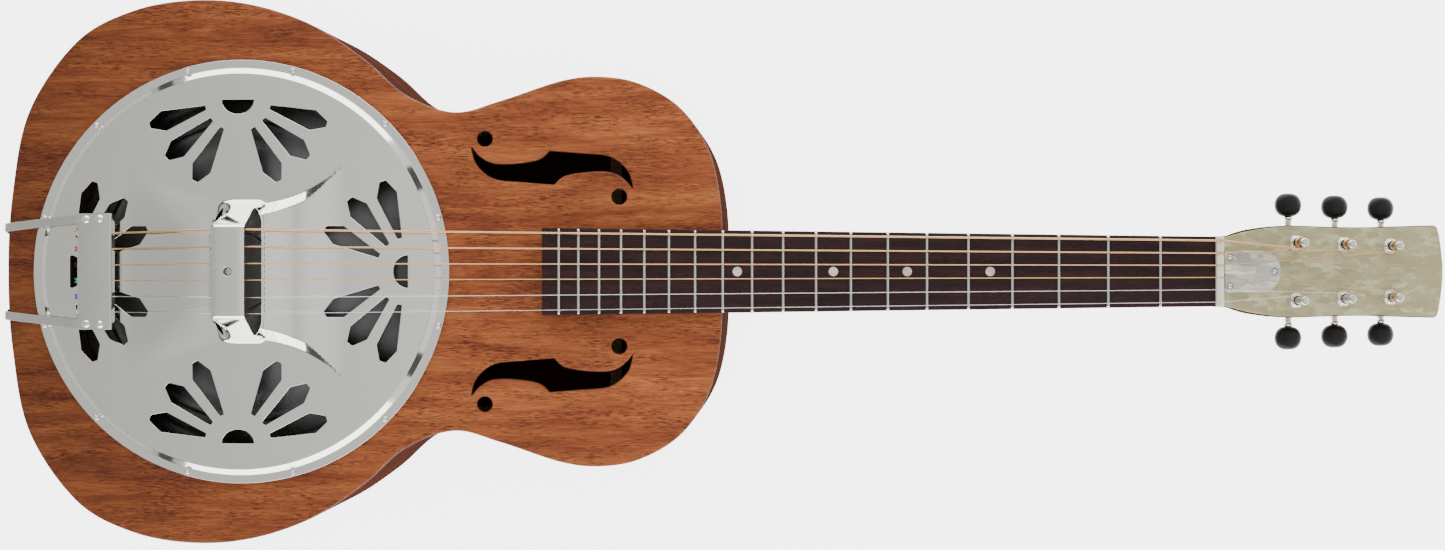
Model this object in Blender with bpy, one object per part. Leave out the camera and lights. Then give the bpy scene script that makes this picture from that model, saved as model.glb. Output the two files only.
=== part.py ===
"""Resonator guitar with a round cover plate, a spun cone under a biscuit bridge and six open-gear tuners.

Metres. The origin is on the flat back, under the saddle. +X runs to the headstock, +Y to the bass side and
+Z out of the top. The neck leans back from the top, and the headstock leans back again from the neck.
"""

import math

import bmesh
import bpy
from mathutils import Matrix, Vector

# Clearance between pieces, overlap of joined shapes, and how far a cutter runs past what it cuts
GAP = 0.0003
OVERLAP = 0.0002
OVERSHOOT = 0.01
SMALL_SEGMENTS = 12
PIN_SEGMENTS = 16

# Scale, neck and headstock
SCALE_LENGTH = 0.635
BODY_FRET = 12
FRET_COUNT = 19
NECK_ANGLE = math.radians(3.3)
HEAD_ANGLE = math.radians(12.0)
FRETS_OVER_TOP = 0.008
BOARD_END = 0.201
BOARD_THICKNESS = 0.006
BOARD_HALF_END = 0.0282
NUT_HALF_WIDTH = 0.02255
NUT_LENGTH = 0.0055
FRET_HEIGHT = 0.0011
FRET_HALF_WIDTH = 0.0011
FRET_TANG = 0.001
FRET_END_INSET = 0.0006
FRET_CROWN_GAP = 0.0001
NUT_BACK_RISE = 0.0040
NUT_CREST_LENGTH = 0.002
NUT_UNDER_STRINGS = 0.0005
NUT_SLOT_X = (0.0005, 0.0035)
NUT_SLOT_FALL = 0.0003
NECK_DEPTH_NUT = 0.0142
NECK_DEPTH_BODY = 0.0175
HEEL_DEPTH = 0.084
HEEL_LENGTH = 0.052
HEEL_TIP_HALF_WIDTH = 0.0150
HEEL_STATIONS = (0.0, 0.06, 0.16, 0.3, 0.48, 0.7, 1.0)
HEEL_CURL = 2.6
HEEL_NARROWING = 1.2
HEEL_ROUNDNESS = 3.6
NECK_ROUNDNESS = 2.2
NECK_STATIONS = (0.44, 0.52, 0.59)
NECK_END = SCALE_LENGTH - 0.004
VOLUTE = (0.004, 0.0232, 2.8)
TENON_HALF_WIDTH = 0.010
TENON_LENGTH = 0.016
TENON_RISE = 0.012
TENON_INTO_HEEL = 0.004
HEAD_LENGTH = 0.1618
VENEER_THICKNESS = 0.0015
VENEER_START = 0.0006
HEAD_THICKNESS = 0.013
HEAD_ROUNDNESS = 9.0
HEAD_BLEND_LENGTH = 0.02
HEAD_BLEND_ROUNDNESS = 4.0
HEAD_OUTLINE = ((0.000, 0.0222), (0.012, 0.0256), (0.024, 0.0279), (0.040, 0.0298), (0.055, 0.0301),
                (0.080, 0.0294), (0.103, 0.0293), (0.125, 0.0300), (0.150, 0.0308), (0.1555, 0.0308))
HEAD_TIP = ((0.1575, 0.0295), (0.1592, 0.0235), (0.1606, 0.0150), (HEAD_LENGTH, 0.0045))
TRUSS_ROD_RADIUS = 0.0025
TRUSS_CHANNEL_HALF = 0.003
TRUSS_CHANNEL_DEPTH = 0.0075
TRUSS_CHANNEL_START = 0.345
TRUSS_CHANNEL_END = SCALE_LENGTH + 0.03
TRUSS_ROD_START = 0.347
TRUSS_ROD_END = SCALE_LENGTH + 0.0245
TRUSS_POCKET_LENGTH = 0.026
TRUSS_POCKET_HALF = TRUSS_CHANNEL_HALF + 0.0012
TRUSS_COVER_HALF_WIDTH = 0.0134
TRUSS_COVER_STRAIGHT = 0.026
TRUSS_COVER_ROUND = 0.0098
TRUSS_COVER_THICKNESS = 0.0016

# Body shell
BODY_DEPTH = 0.095
TOP_THICKNESS = 0.004
BACK_THICKNESS = 0.0035
SIDE_THICKNESS = 0.003
EDGE_ROUND = 0.0008
TAIL_X = -0.160
JOINT_X = 0.316
OUTLINE = ((TAIL_X, 0.0), (-0.157, 0.052), (-0.1455, 0.1068), (-0.1135, 0.1524), (-0.0761, 0.1726),
           (-0.0355, 0.1796), (0.0049, 0.1764), (0.0451, 0.1628), (0.080, 0.1402), (0.1078, 0.1163),
           (0.140, 0.1045), (0.1713, 0.1119), (0.2108, 0.1245), (0.237, 0.1271), (0.2631, 0.1221),
           (0.2892, 0.1062), (0.3075, 0.079), (0.3155, 0.042), (JOINT_X, 0.0))
OUTLINE_STEPS = 2
LINING_WIDTH = 0.006
LINING_HEIGHT = 0.012
BLOCK_HALF_WIDTH = 0.032
NECK_BLOCK_LENGTH = 0.034
TAIL_BLOCK_LENGTH = 0.0135
BRACE_WIDTH = 0.008
BRACE_HEIGHT = 0.012
BACK_BRACE_X = (0.066, 0.238)
TOP_BRACE_X = 0.268
BRACE_END_CLEARANCE = 0.0035
WEDGE_X = (BOARD_END + 0.0025, JOINT_X - 0.018)
WEDGE_SIDE_INSET = 0.0008
WEDGE_CLEARANCE = 0.0007

# Sound holes: one half of each S, which a half turn about its centre completes
F_HOLE_CENTRE = (0.2049, 0.0677)
F_HOLE_OUTER = ((-0.0530, 0.0135), (-0.0495, 0.0024), (-0.0380, -0.0069), (-0.0190, -0.0092),
                (0.0013, -0.0109))
F_HOLE_INNER = ((0.0013, -0.0109), (0.0085, -0.0052), (0.0237, -0.0026), (0.0386, -0.0028),
                (0.0475, -0.0073), (0.0530, -0.0135))
F_HOLE_DOT = (-0.0442, 0.0191)
F_HOLE_DOT_RADIUS = 0.0049

# Cover plate
COVER_X = -0.002
COVER_RADIUS = 0.1396
COVER_THICKNESS = 0.001
COVER_STEP_OUTER = 0.1342
COVER_STEP_INNER = 0.1305
COVER_EDGE_HEIGHT = 0.0042
COVER_DOME = 0.0043
COVER_SEGMENTS = 40
COVER_RINGS = (0.122, 0.100, 0.080, 0.066, 0.056, 0.048, 0.040, 0.030)
COVER_CUT = (-0.01, 0.045)
WELL_SEGMENTS = 36
FAN_RADIUS = 0.1144
FAN_MOON_OFFSET = 0.113
FAN_MOON_HALF_WIDTH = 0.0107
FAN_MOON_DEPTH = 0.0094
FAN_MOON_STEPS = 8
PETAL_ANGLES = (-73, -50, -27, 27, 50, 73)
PETAL = ((0.0226, 0.0014), (0.0522, 0.0068), (0.0617, 0.0020))
PILLOW_HEIGHT = 0.0082
PILLOW_ARC_RADIUS = 0.110
PILLOW_ARC_Y = 0.0435
PILLOW_RAMP = 0.011
PILLOW_FULL_X = 0.024
PILLOW_END_X = 0.072
REST_X = 0.0015
REST_HALF_WIDTH = 0.0107
REST_THICKNESS = 0.0012
REST_PROFILE = ((0.0460, 0.0158), (0.0430, 0.0186), (0.0385, 0.0250), (0.0340, 0.0312), (0.0295, 0.0336),
                (0.0150, 0.0342))
REST_OPENING_X = (-0.0145, 0.0178)
REST_OPENING_HALF = 0.0425
REST_OPENING_CORNER = 0.004
REST_SCREW_RADIUS = 0.0028
REST_SCREW_BORE = (0.03, 0.04)

# Cone, biscuit and saddle
WELL_INNER = 0.1223
WELL_OUTER = 0.134
WELL_LEDGE_INNER = 0.113
WELL_LEDGE_HEIGHT = 0.075
WELL_LEDGE_THICKNESS = 0.004
TOP_HOLE_RADIUS = 0.122
CONE_RADIUS = 0.1205
CONE_RISE = 0.0242
CONE_FLAT_RADIUS = 0.014
CONE_WALL = 0.0006
CONE_FLARE = ((CONE_RADIUS - 0.006, 0.0), (0.100, 0.14), (0.060, 0.52), (0.030, 0.86), (CONE_FLAT_RADIUS, 1.0))
CONE_HOLE_RADIUS = 0.004
BISCUIT_RADIUS = 0.0255
BISCUIT_THICKNESS = 0.008
BISCUIT_EDGE = 0.001
BISCUIT_SEGMENTS = 24
BISCUIT_BORE_RADIUS = 0.0018
BISCUIT_BORE_COVER = 0.0045
BISCUIT_SCREW_RADIUS = 0.0014
BISCUIT_SCREW_COVER = 0.005
BISCUIT_SCREW_HEAD = ((0.0016, -0.0028), (0.0034, -0.0018), (0.0036, 0.0))
SADDLE_HALF_LENGTH = 0.0305
SADDLE_HALF_WIDTH = 0.0016
SADDLE_SLOT_DEPTH = 0.003
SADDLE_CREST_HALF = 0.0005
SADDLE_SHOULDER = 0.0012

# Tailpiece
BAR_X = (-0.1052, -0.0825)
BAR_HALF_LENGTH = 0.038
BAR_TOP = 0.0158
BAR_SHEET = 0.0014
BAR_CORNER = 0.001
BAR_FRONT_LIP = 0.0055
BAR_BACK_LIP = 0.0065
BAR_BACK_LIP_HALF = 0.0285
STRAP_Y_BAR = 0.0346
STRAP_Y_TAIL = 0.0292
STRAP_Y_BRACKET = 0.0095
STRAP_HALF_WIDTH = 0.0028
STRAP_SHEET = 0.0013
STRAP_CLEARANCE = 0.0005
STRAP_BAR_X = (-0.0865, -0.1065)
STRAP_EDGE_BEND = ((0.0012, 0.0033), (-0.0003, 0.0024))
STRAP_FACE_BEND = ((0.0001, 0.0004), (0.0020, -0.0050))
STRAP_END_RISE = 0.0165
BRACKET_HALF_WIDTH = 0.0145
BRACKET_Z = (0.040, 0.064)
BRACKET_CORNER = 0.003
END_PIN_Z = 0.050
END_PIN_SHANK = 0.003
END_PIN_DEPTH = 0.014
END_PIN_BORE_LENGTH = 0.05
END_PIN_PROFILE = ((0.0, 0.0045), (0.0012, 0.0062), (0.0028, 0.0046), (0.0052, 0.0038), (0.0072, 0.0052),
                   (0.0086, 0.0066), (0.0100, 0.0066), (0.0108, 0.0056))

# Strings, bass to treble: radius, Y at the tailpiece, at the saddle and at the nut, and tuner row
STRINGS = (("e_low", 0.00067, 0.0251, 0.0271, 0.0199, 0), ("a", 0.00054, 0.0148, 0.0161, 0.0118, 1),
           ("d", 0.00041, 0.0043, 0.0052, 0.0040, 2), ("g", 0.00031, -0.0059, -0.0055, -0.0038, 2),
           ("b", 0.00021, -0.0163, -0.0168, -0.0117, 1), ("e_high", 0.00016, -0.0265, -0.0272, -0.0196, 0))
STRING_OVER_NUT = 0.0006
STRING_OVER_SADDLE = 0.0043
STRING_BALL_X = -0.1075
STRING_BALL_Z = 0.0107
STRING_LIP_Z = 0.0133
STRING_POST_HEIGHT = 0.0065
STRING_HOLE_CLEARANCE = 0.0004
STRING_HOLE_ENDS = (0.002, 0.003)

# Tuners
TUNER_ROWS = ((0.0521, 0.01885), (0.0866, 0.01785), (0.1213, 0.01705))
POST_RADIUS = 0.0028
POST_TOP = 0.0115
POST_EDGE = 0.0008
POST_TAPER = 0.7
POST_HOLE_RADIUS = 0.0032
PLATE_THICKNESS = 0.001
PLATE_X = (-0.0068, 0.0108)
PLATE_HALF_WIDTH = 0.0088
WORM_DEPTH = 0.0193
WORM_OFFSET = 0.0065
GEAR_TEETH = 14
WORM_PITCH = 0.00195
GEAR_PITCH_RADIUS = GEAR_TEETH * WORM_PITCH / (2 * math.pi)
GEAR_TIP_RADIUS = GEAR_PITCH_RADIUS + 0.00042
GEAR_ROOT_RADIUS = GEAR_PITCH_RADIUS - 0.00062
GEAR_THICKNESS = 0.0032
TOOTH_TIP_WIDTH = 0.00045
TOOTH_ROOT_WIDTH = 0.00112
WORM_ROOT_RADIUS = 0.00155
WORM_TIP_RADIUS = 0.0026
WORM_TIP_WIDTH = 0.00025
WORM_BASE_WIDTH = 0.00095
WORM_HALF_LENGTH = 0.0046
WORM_SEGMENTS = 8
SHAFT_START = -0.0078
EAR_INNER = 0.0056
EAR_THICKNESS = 0.0014
EAR_HALF_WIDTH = 0.0032
EAR_HOLE_RADIUS = 0.0019
BUTTON_OFFSET = 0.0244
BUTTON_HALF = (0.0082, 0.0042, 0.00685)
BUTTON_FULLNESS = 0.62
BUTTON_STATIONS = 7
BUTTON_BORE_RADIUS = 0.0019
BUTTON_BORE_END = 0.001

# Values that follow from the ones above
TOP_Z = BODY_DEPTH
BODY_FRET_DISTANCE = SCALE_LENGTH * 2 ** (-BODY_FRET / 12)
FRET_PLANE_Z = TOP_Z + FRETS_OVER_TOP + BODY_FRET_DISTANCE * math.tan(NECK_ANGLE)
BOARD_TOP = -FRET_HEIGHT
BOARD_BOTTOM = BOARD_TOP - BOARD_THICKNESS
NUT_BACK = SCALE_LENGTH + NUT_LENGTH
HEAD_START = NUT_BACK + GAP
HEAD_DROP = -0.0045
HEAD_LEAN = NECK_ANGLE + HEAD_ANGLE
WOOD_TOP = -VENEER_THICKNESS - GAP
WOOD_BOTTOM = WOOD_TOP - HEAD_THICKNESS
INNER_TOP = TOP_Z - TOP_THICKNESS - GAP
INNER_BACK = BACK_THICKNESS + GAP
TENON_BOTTOM = TOP_Z - HEEL_DEPTH + TENON_RISE
CONE_TOP = WELL_LEDGE_HEIGHT + GAP + CONE_RISE
BISCUIT_BOTTOM = CONE_TOP + CONE_WALL + GAP
BISCUIT_TOP = BISCUIT_BOTTOM + BISCUIT_THICKNESS


def clear_scene():
    for obj in list(bpy.data.objects):
        bpy.data.objects.remove(obj, do_unlink=True)


def finish(name, colour, roughness, metallic=0.0):
    material = bpy.data.materials.new(name)
    material.use_nodes = True
    shader = material.node_tree.nodes["Principled BSDF"]
    shader.inputs["Base Color"].default_value = (*colour, 1.0)
    shader.inputs["Roughness"].default_value = roughness
    shader.inputs["Metallic"].default_value = metallic
    material.diffuse_color = (*colour, 1.0)
    return material


def make_finishes():
    return {
        "mahogany": finish("mahogany", (0.31, 0.10, 0.030), 0.45),
        "side_mahogany": finish("side_mahogany", (0.17, 0.045, 0.014), 0.45),
        "inner_wood": finish("inner_wood", (0.52, 0.36, 0.20), 0.7),
        "rosewood": finish("rosewood", (0.050, 0.013, 0.012), 0.5),
        "bone": finish("bone", (0.80, 0.74, 0.60), 0.4),
        "maple": finish("maple", (0.62, 0.44, 0.25), 0.5),
        "ebonised": finish("ebonised", (0.02, 0.017, 0.015), 0.5),
        "nickel": finish("nickel", (0.62, 0.62, 0.60), 0.22, 1.0),
        "spun_aluminium": finish("spun_aluminium", (0.60, 0.61, 0.60), 0.35, 1.0),
        "steel": finish("steel", (0.55, 0.55, 0.54), 0.3, 1.0),
        "bronze": finish("bronze", (0.65, 0.40, 0.18), 0.35, 1.0),
        "brass": finish("brass", (0.72, 0.52, 0.24), 0.35, 1.0),
        "cream_pearl": finish("cream_pearl", (0.66, 0.66, 0.50), 0.25),
        "white_pearl": finish("white_pearl", (0.72, 0.72, 0.70), 0.25),
        "black_button": finish("black_button", (0.02, 0.02, 0.02), 0.4),
    }


def add_object(name, bm, material, parent=None):
    bmesh.ops.recalc_face_normals(bm, faces=bm.faces)
    mesh = bpy.data.meshes.new(name)
    bm.to_mesh(mesh)
    bm.free()
    mesh.shade_smooth()
    mesh.set_sharp_from_angle(angle=math.radians(35))
    if material:
        mesh.materials.append(material)
    obj = bpy.data.objects.new(name, mesh)
    obj.parent = parent
    bpy.context.scene.collection.objects.link(obj)
    return obj


def add_cutter(name, bm, parent=None):
    cutter = add_object(name, bm, None, parent)
    cutter.hide_render = True
    cutter.display_type = "WIRE"
    return cutter


def add_boolean(obj, other, operation):
    modifier = obj.modifiers.new(f"{operation.lower()} {other.name}", "BOOLEAN")
    modifier.object = other
    modifier.operation = operation


def add_empty(name, location, rotation, parent=None):
    empty = bpy.data.objects.new(name, None)
    empty.parent = parent
    empty.location = location
    empty.rotation_euler = rotation
    bpy.context.scene.collection.objects.link(empty)
    return empty


def loft(rows, closed=False, bm=None):
    """Skin over rows of points with equal counts. Closed joins the last row to the first, as in a ring."""
    bm = bm or bmesh.new()
    verts = [[bm.verts.new(point) for point in row] for row in rows]
    pairs = list(zip(verts, verts[1:]))
    if closed:
        pairs.append((verts[-1], verts[0]))
    for low, high in pairs:
        for i in range(len(low)):
            j = (i + 1) % len(low)
            bm.faces.new((low[i], low[j], high[j], high[i]))
    if not closed:
        bm.faces.new(list(reversed(verts[0])))
        bm.faces.new(verts[-1])
    return bm


def at_height(outline, z):
    return [Vector((x, y, z)) for x, y in outline]


def prism(outline, low, high, bm=None):
    return loft([at_height(outline, low), at_height(outline, high)], bm=bm)


def ring_prism(outer, inner, low, high):
    rows = [at_height(outer, low), at_height(outer, high), at_height(inner, high), at_height(inner, low)]
    return loft(rows, closed=True)


def circle(radius, segments, centre=(0.0, 0.0), start=0.0):
    turn = 2 * math.pi / segments
    return [(centre[0] + radius * math.cos(start + turn * i), centre[1] + radius * math.sin(start + turn * i))
            for i in range(segments)]


def box(low, high, bm=None):
    outline = ((low[0], low[1]), (high[0], low[1]), (high[0], high[1]), (low[0], high[1]))
    return prism(outline, low[2], high[2], bm)


def turned(profile, segments):
    """Solid of revolution about Z from (radius, z) points, bottom to top."""
    return loft([at_height(circle(radius, segments), z) for radius, z in profile])


def spline(points, steps):
    """Points along a Catmull-Rom curve through open points, ends included."""
    padded = [points[0], *points, points[-1]]
    result = []
    for a, b, c, d in zip(padded, padded[1:], padded[2:], padded[3:]):
        for step in range(steps):
            t = step / steps
            result.append(tuple(
                0.5 * (2 * q + (r - p) * t + (2 * p - 5 * q + 4 * r - s) * t * t
                       + (3 * q - p - 3 * r + s) * t ** 3)
                for p, q, r, s in zip(a, b, c, d)))
    result.append(tuple(points[-1]))
    return result


def body_outline(inset=0.0):
    """The guitar's closed outline, anticlockwise from the tail, moved inward by the inset."""
    mirrored = (OUTLINE[1][0], -OUTLINE[1][1])
    before_joint = (OUTLINE[-2][0], -OUTLINE[-2][1])
    run = [mirrored, *OUTLINE, before_joint]
    half = spline(run, OUTLINE_STEPS)[OUTLINE_STEPS:-OUTLINE_STEPS]
    treble = [(x, -y) for x, y in half]
    outline = treble + [(x, y) for x, y in reversed(half)][1:-1]
    moved = []
    for i, (x, y) in enumerate(outline):
        before = outline[i - 1]
        after = outline[(i + 1) % len(outline)]
        along = Vector((after[0] - before[0], after[1] - before[1])).normalized()
        moved.append((x - along.y * inset, y + along.x * inset))
    return moved


def neck_point(along, y, up):
    """World place of a point given by distance from the saddle along the fret tops, Y and height over them."""
    return Vector((along * math.cos(NECK_ANGLE) + up * math.sin(NECK_ANGLE), y,
                   FRET_PLANE_Z - along * math.sin(NECK_ANGLE) + up * math.cos(NECK_ANGLE)))


def head_point(along, y, up):
    start = neck_point(HEAD_START, y, HEAD_DROP)
    return start + Vector((along * math.cos(HEAD_LEAN) + up * math.sin(HEAD_LEAN), 0.0,
                           up * math.cos(HEAD_LEAN) - along * math.sin(HEAD_LEAN)))


def board_half_width(along):
    share = (SCALE_LENGTH - along) / (SCALE_LENGTH - BOARD_END)
    return NUT_HALF_WIDTH + (BOARD_HALF_END - NUT_HALF_WIDTH) * share


def ease(value):
    value = min(max(value, 0.0), 1.0)
    return value * value * (3 - 2 * value)


# Body


def f_hole_outline():
    half = spline(F_HOLE_OUTER, 2)[:-1] + spline(F_HOLE_INNER, 2)[:-1]
    whole = half + [(-x, -y) for x, y in half]
    return [(F_HOLE_CENTRE[0] + x, F_HOLE_CENTRE[1] + y) for x, y in whole]


def top_openings(low, high):
    bm = prism(circle(TOP_HOLE_RADIUS, WELL_SEGMENTS, (COVER_X, 0.0)), low, high)
    dot = F_HOLE_DOT
    for side in (1, -1):
        prism([(x, side * y) for x, y in f_hole_outline()], low, high, bm)
        for turn in (1, -1):
            centre = (F_HOLE_CENTRE[0] + turn * dot[0], side * (F_HOLE_CENTRE[1] + turn * dot[1]))
            prism(circle(F_HOLE_DOT_RADIUS, SMALL_SEGMENTS, centre), low, high, bm)
    return bm


def make_top(materials):
    outline = body_outline()
    rows = [at_height(outline, TOP_Z - TOP_THICKNESS), at_height(outline, TOP_Z - EDGE_ROUND),
            at_height(body_outline(EDGE_ROUND), TOP_Z)]
    top = add_object("body_top", loft(rows), materials["mahogany"])
    cutter = add_cutter("top_openings", top_openings(TOP_Z - 2 * TOP_THICKNESS, TOP_Z + TOP_THICKNESS))
    add_boolean(top, cutter, "DIFFERENCE")


def make_back(materials):
    outline = body_outline()
    rows = [at_height(body_outline(EDGE_ROUND), 0.0), at_height(outline, EDGE_ROUND),
            at_height(outline, BACK_THICKNESS)]
    add_object("body_back", loft(rows), materials["side_mahogany"])


def tenon_notch(name, front, back):
    half = TENON_HALF_WIDTH + GAP
    return add_cutter(name, box((front, -half, TENON_BOTTOM - GAP), (back, half, TOP_Z)))


def end_pin_bore(name):
    radius = END_PIN_SHANK + GAP
    bore = add_cutter(name, turned(((radius, 0.0), (radius, END_PIN_BORE_LENGTH)), PIN_SEGMENTS))
    bore.location = (TAIL_X - OVERSHOOT, 0.0, END_PIN_Z)
    bore.rotation_euler = (0.0, math.pi / 2, 0.0)
    return bore


def make_sides(materials):
    bm = ring_prism(body_outline(), body_outline(SIDE_THICKNESS), INNER_BACK, INNER_TOP)
    sides = add_object("body_sides", bm, materials["side_mahogany"])
    notch = tenon_notch("sides_notch", JOINT_X - 2 * OVERSHOOT, JOINT_X + 2 * OVERSHOOT)
    add_boolean(sides, notch, "DIFFERENCE")
    add_boolean(sides, end_pin_bore("sides_pin_bore"), "DIFFERENCE")


def lining_outline(inset):
    """The lining stops at the blocks, so its ring is pulled in round them."""
    return [(min(max(x, TAIL_X + TAIL_BLOCK_LENGTH + SIDE_THICKNESS + 2 * GAP + inset),
                 JOINT_X - NECK_BLOCK_LENGTH - SIDE_THICKNESS - 2 * GAP - inset), y)
            for x, y in body_outline(SIDE_THICKNESS + GAP + inset)]


def make_linings(materials):
    outer = lining_outline(0.0)
    inner = lining_outline(LINING_WIDTH)
    add_object("top_lining", ring_prism(outer, inner, INNER_TOP - LINING_HEIGHT, INNER_TOP),
               materials["inner_wood"])
    add_object("back_lining", ring_prism(outer, inner, INNER_BACK, INNER_BACK + LINING_HEIGHT),
               materials["inner_wood"])


def make_blocks(materials):
    back = JOINT_X - SIDE_THICKNESS - 3 * GAP
    bm = box((back - NECK_BLOCK_LENGTH + 2 * GAP, -BLOCK_HALF_WIDTH, INNER_BACK),
             (back, BLOCK_HALF_WIDTH, INNER_TOP))
    neck_block = add_object("neck_block", bm, materials["inner_wood"])
    notch = tenon_notch("block_notch", JOINT_X - TENON_LENGTH - SIDE_THICKNESS, JOINT_X + 2 * OVERSHOOT)
    add_boolean(neck_block, notch, "DIFFERENCE")
    front = TAIL_X + SIDE_THICKNESS + 5 * GAP
    bm = box((front, -BLOCK_HALF_WIDTH, INNER_BACK), (TAIL_X + SIDE_THICKNESS + TAIL_BLOCK_LENGTH,
                                                      BLOCK_HALF_WIDTH, INNER_TOP))
    tail_block = add_object("tail_block", bm, materials["inner_wood"])
    add_boolean(tail_block, end_pin_bore("block_pin_bore"), "DIFFERENCE")


def half_width_at(x, inset):
    """Half width of the inset outline at X, between the two outline points either side of it."""
    side = [point for point in body_outline(inset) if point[1] > 0]
    for (x1, y1), (x2, y2) in zip(side, side[1:]):
        if min(x1, x2) <= x <= max(x1, x2) and x1 != x2:
            return y1 + (y2 - y1) * (x - x1) / (x2 - x1)
    return 0.0


def make_braces(materials):
    clear = SIDE_THICKNESS + LINING_WIDTH + BRACE_END_CLEARANCE
    places = [("lower_back_brace", BACK_BRACE_X[0], INNER_BACK, INNER_BACK + BRACE_HEIGHT),
              ("upper_back_brace", BACK_BRACE_X[1], INNER_BACK, INNER_BACK + BRACE_HEIGHT),
              ("top_brace", TOP_BRACE_X, INNER_TOP - BRACE_HEIGHT, INNER_TOP)]
    for name, x, low, high in places:
        half = min(half_width_at(x - BRACE_WIDTH / 2, clear), half_width_at(x + BRACE_WIDTH / 2, clear))
        bm = box((x - BRACE_WIDTH / 2, -half, low), (x + BRACE_WIDTH / 2, half, high))
        add_object(name, bm, materials["inner_wood"])


def make_soundwell(materials):
    ledge_bottom = WELL_LEDGE_HEIGHT - WELL_LEDGE_THICKNESS
    profile = [(WELL_LEDGE_INNER, ledge_bottom), (WELL_OUTER, ledge_bottom), (WELL_OUTER, INNER_TOP),
               (WELL_INNER, INNER_TOP), (WELL_INNER, WELL_LEDGE_HEIGHT), (WELL_LEDGE_INNER, WELL_LEDGE_HEIGHT)]
    rows = [at_height(circle(radius, WELL_SEGMENTS), z) for radius, z in profile]
    well = add_object("soundwell_ring", loft(rows, closed=True), materials["inner_wood"])
    well.location.x = COVER_X


# Resonator


def cone_profile():
    """Radius and height of the cone's upper skin: flat rim, shallow flare, straight flank and flat crown."""
    base = WELL_LEDGE_HEIGHT + GAP + CONE_WALL
    return [(CONE_RADIUS, base)] + [(radius, base + share * CONE_RISE) for radius, share in CONE_FLARE]


def make_cone(materials):
    upper = cone_profile()
    crown = upper[-1][1]
    points = upper + [(CONE_HOLE_RADIUS, crown), (CONE_HOLE_RADIUS, crown - CONE_WALL)]
    points += [(radius, z - CONE_WALL) for radius, z in reversed(upper)]
    rows = [at_height(circle(radius, WELL_SEGMENTS), z) for radius, z in points]
    cone = add_object("resonator_cone", loft(rows, closed=True), materials["spun_aluminium"])
    cone.location.x = COVER_X


def make_biscuit(materials):
    inner = BISCUIT_RADIUS - BISCUIT_EDGE
    bm = turned(((inner, BISCUIT_BOTTOM), (BISCUIT_RADIUS, BISCUIT_BOTTOM + BISCUIT_EDGE),
                 (BISCUIT_RADIUS, BISCUIT_TOP - BISCUIT_EDGE), (inner, BISCUIT_TOP)), BISCUIT_SEGMENTS)
    biscuit = add_object("bridge_biscuit", bm, materials["ebonised"])
    half = SADDLE_HALF_WIDTH + GAP
    reach = BISCUIT_RADIUS + OVERSHOOT
    slot = box((-half, -reach, BISCUIT_TOP - SADDLE_SLOT_DEPTH), (half, reach, BISCUIT_TOP + OVERSHOOT))
    add_boolean(biscuit, add_cutter("saddle_slot", slot), "DIFFERENCE")
    bore = turned(((BISCUIT_BORE_RADIUS, CONE_TOP - OVERSHOOT),
                   (BISCUIT_BORE_RADIUS, BISCUIT_TOP - BISCUIT_BORE_COVER)), SMALL_SEGMENTS)
    add_boolean(biscuit, add_cutter("biscuit_screw_bore", bore), "DIFFERENCE")


def make_biscuit_screw(materials):
    head_top = CONE_TOP - GAP
    bm = turned([(radius, head_top + z) for radius, z in BISCUIT_SCREW_HEAD], SMALL_SEGMENTS)
    screw = add_object("biscuit_screw", bm, materials["steel"])
    inside_head = head_top + BISCUIT_SCREW_HEAD[1][1]
    shank = turned(((BISCUIT_SCREW_RADIUS, inside_head),
                    (BISCUIT_SCREW_RADIUS, BISCUIT_TOP - BISCUIT_SCREW_COVER)), SMALL_SEGMENTS)
    add_boolean(screw, add_cutter("biscuit_screw_shank", shank), "UNION")


def make_saddle(materials):
    low = BISCUIT_TOP - SADDLE_SLOT_DEPTH + GAP
    top = neck_point(0.0, 0.0, STRING_OVER_SADDLE).z - GAP
    crest = [(-SADDLE_HALF_WIDTH, top - SADDLE_SHOULDER), (-SADDLE_CREST_HALF, top - GAP),
             (SADDLE_CREST_HALF, top - GAP), (SADDLE_HALF_WIDTH, top - SADDLE_SHOULDER)]
    section = [(-SADDLE_HALF_WIDTH, low), *crest, (SADDLE_HALF_WIDTH, low)]
    ends = ((-SADDLE_HALF_LENGTH, -STRINGS[-1][1]), (SADDLE_HALF_LENGTH, -STRINGS[0][1]))
    rows = [[Vector((x, y, z if z == low else z + drop)) for x, z in section] for y, drop in ends]
    add_object("bridge_saddle", loft(rows), materials["maple"])


# Cover plate


def pillow(x, y):
    """Height added by the raised middle between the two crescents, x and y from the plate's centre."""
    inside = max(PILLOW_ARC_RADIUS ** 2 - x * x, 0.0)
    arc = PILLOW_ARC_Y + PILLOW_ARC_RADIUS - math.sqrt(inside)
    across = 1 - ease((abs(y) - arc) / PILLOW_RAMP)
    along = 1 - ease((abs(x) - PILLOW_FULL_X) / (PILLOW_END_X - PILLOW_FULL_X))
    return PILLOW_HEIGHT * across * along


def cover_height(x, y):
    """Height of the plate's outer skin over the guitar's top."""
    radius = math.hypot(x, y)
    flange = GAP + COVER_THICKNESS
    if radius >= COVER_STEP_OUTER:
        return flange
    if radius >= COVER_STEP_INNER:
        share = (COVER_STEP_OUTER - radius) / (COVER_STEP_OUTER - COVER_STEP_INNER)
        return flange + (COVER_EDGE_HEIGHT - flange) * share
    dome = COVER_DOME * (1 - (radius / COVER_STEP_INNER) ** 2)
    return COVER_EDGE_HEIGHT + dome + pillow(x, y)


def cover_shell():
    radii = [COVER_RADIUS, COVER_STEP_OUTER, COVER_STEP_INNER, *COVER_RINGS]
    upper = []
    for radius in radii:
        ring = circle(radius, COVER_SEGMENTS)
        upper.append([Vector((x, y, cover_height(x, y))) for x, y in ring])
    lower = [[point - Vector((0, 0, COVER_THICKNESS)) for point in row] for row in reversed(upper)]
    return loft(lower + upper)


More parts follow.
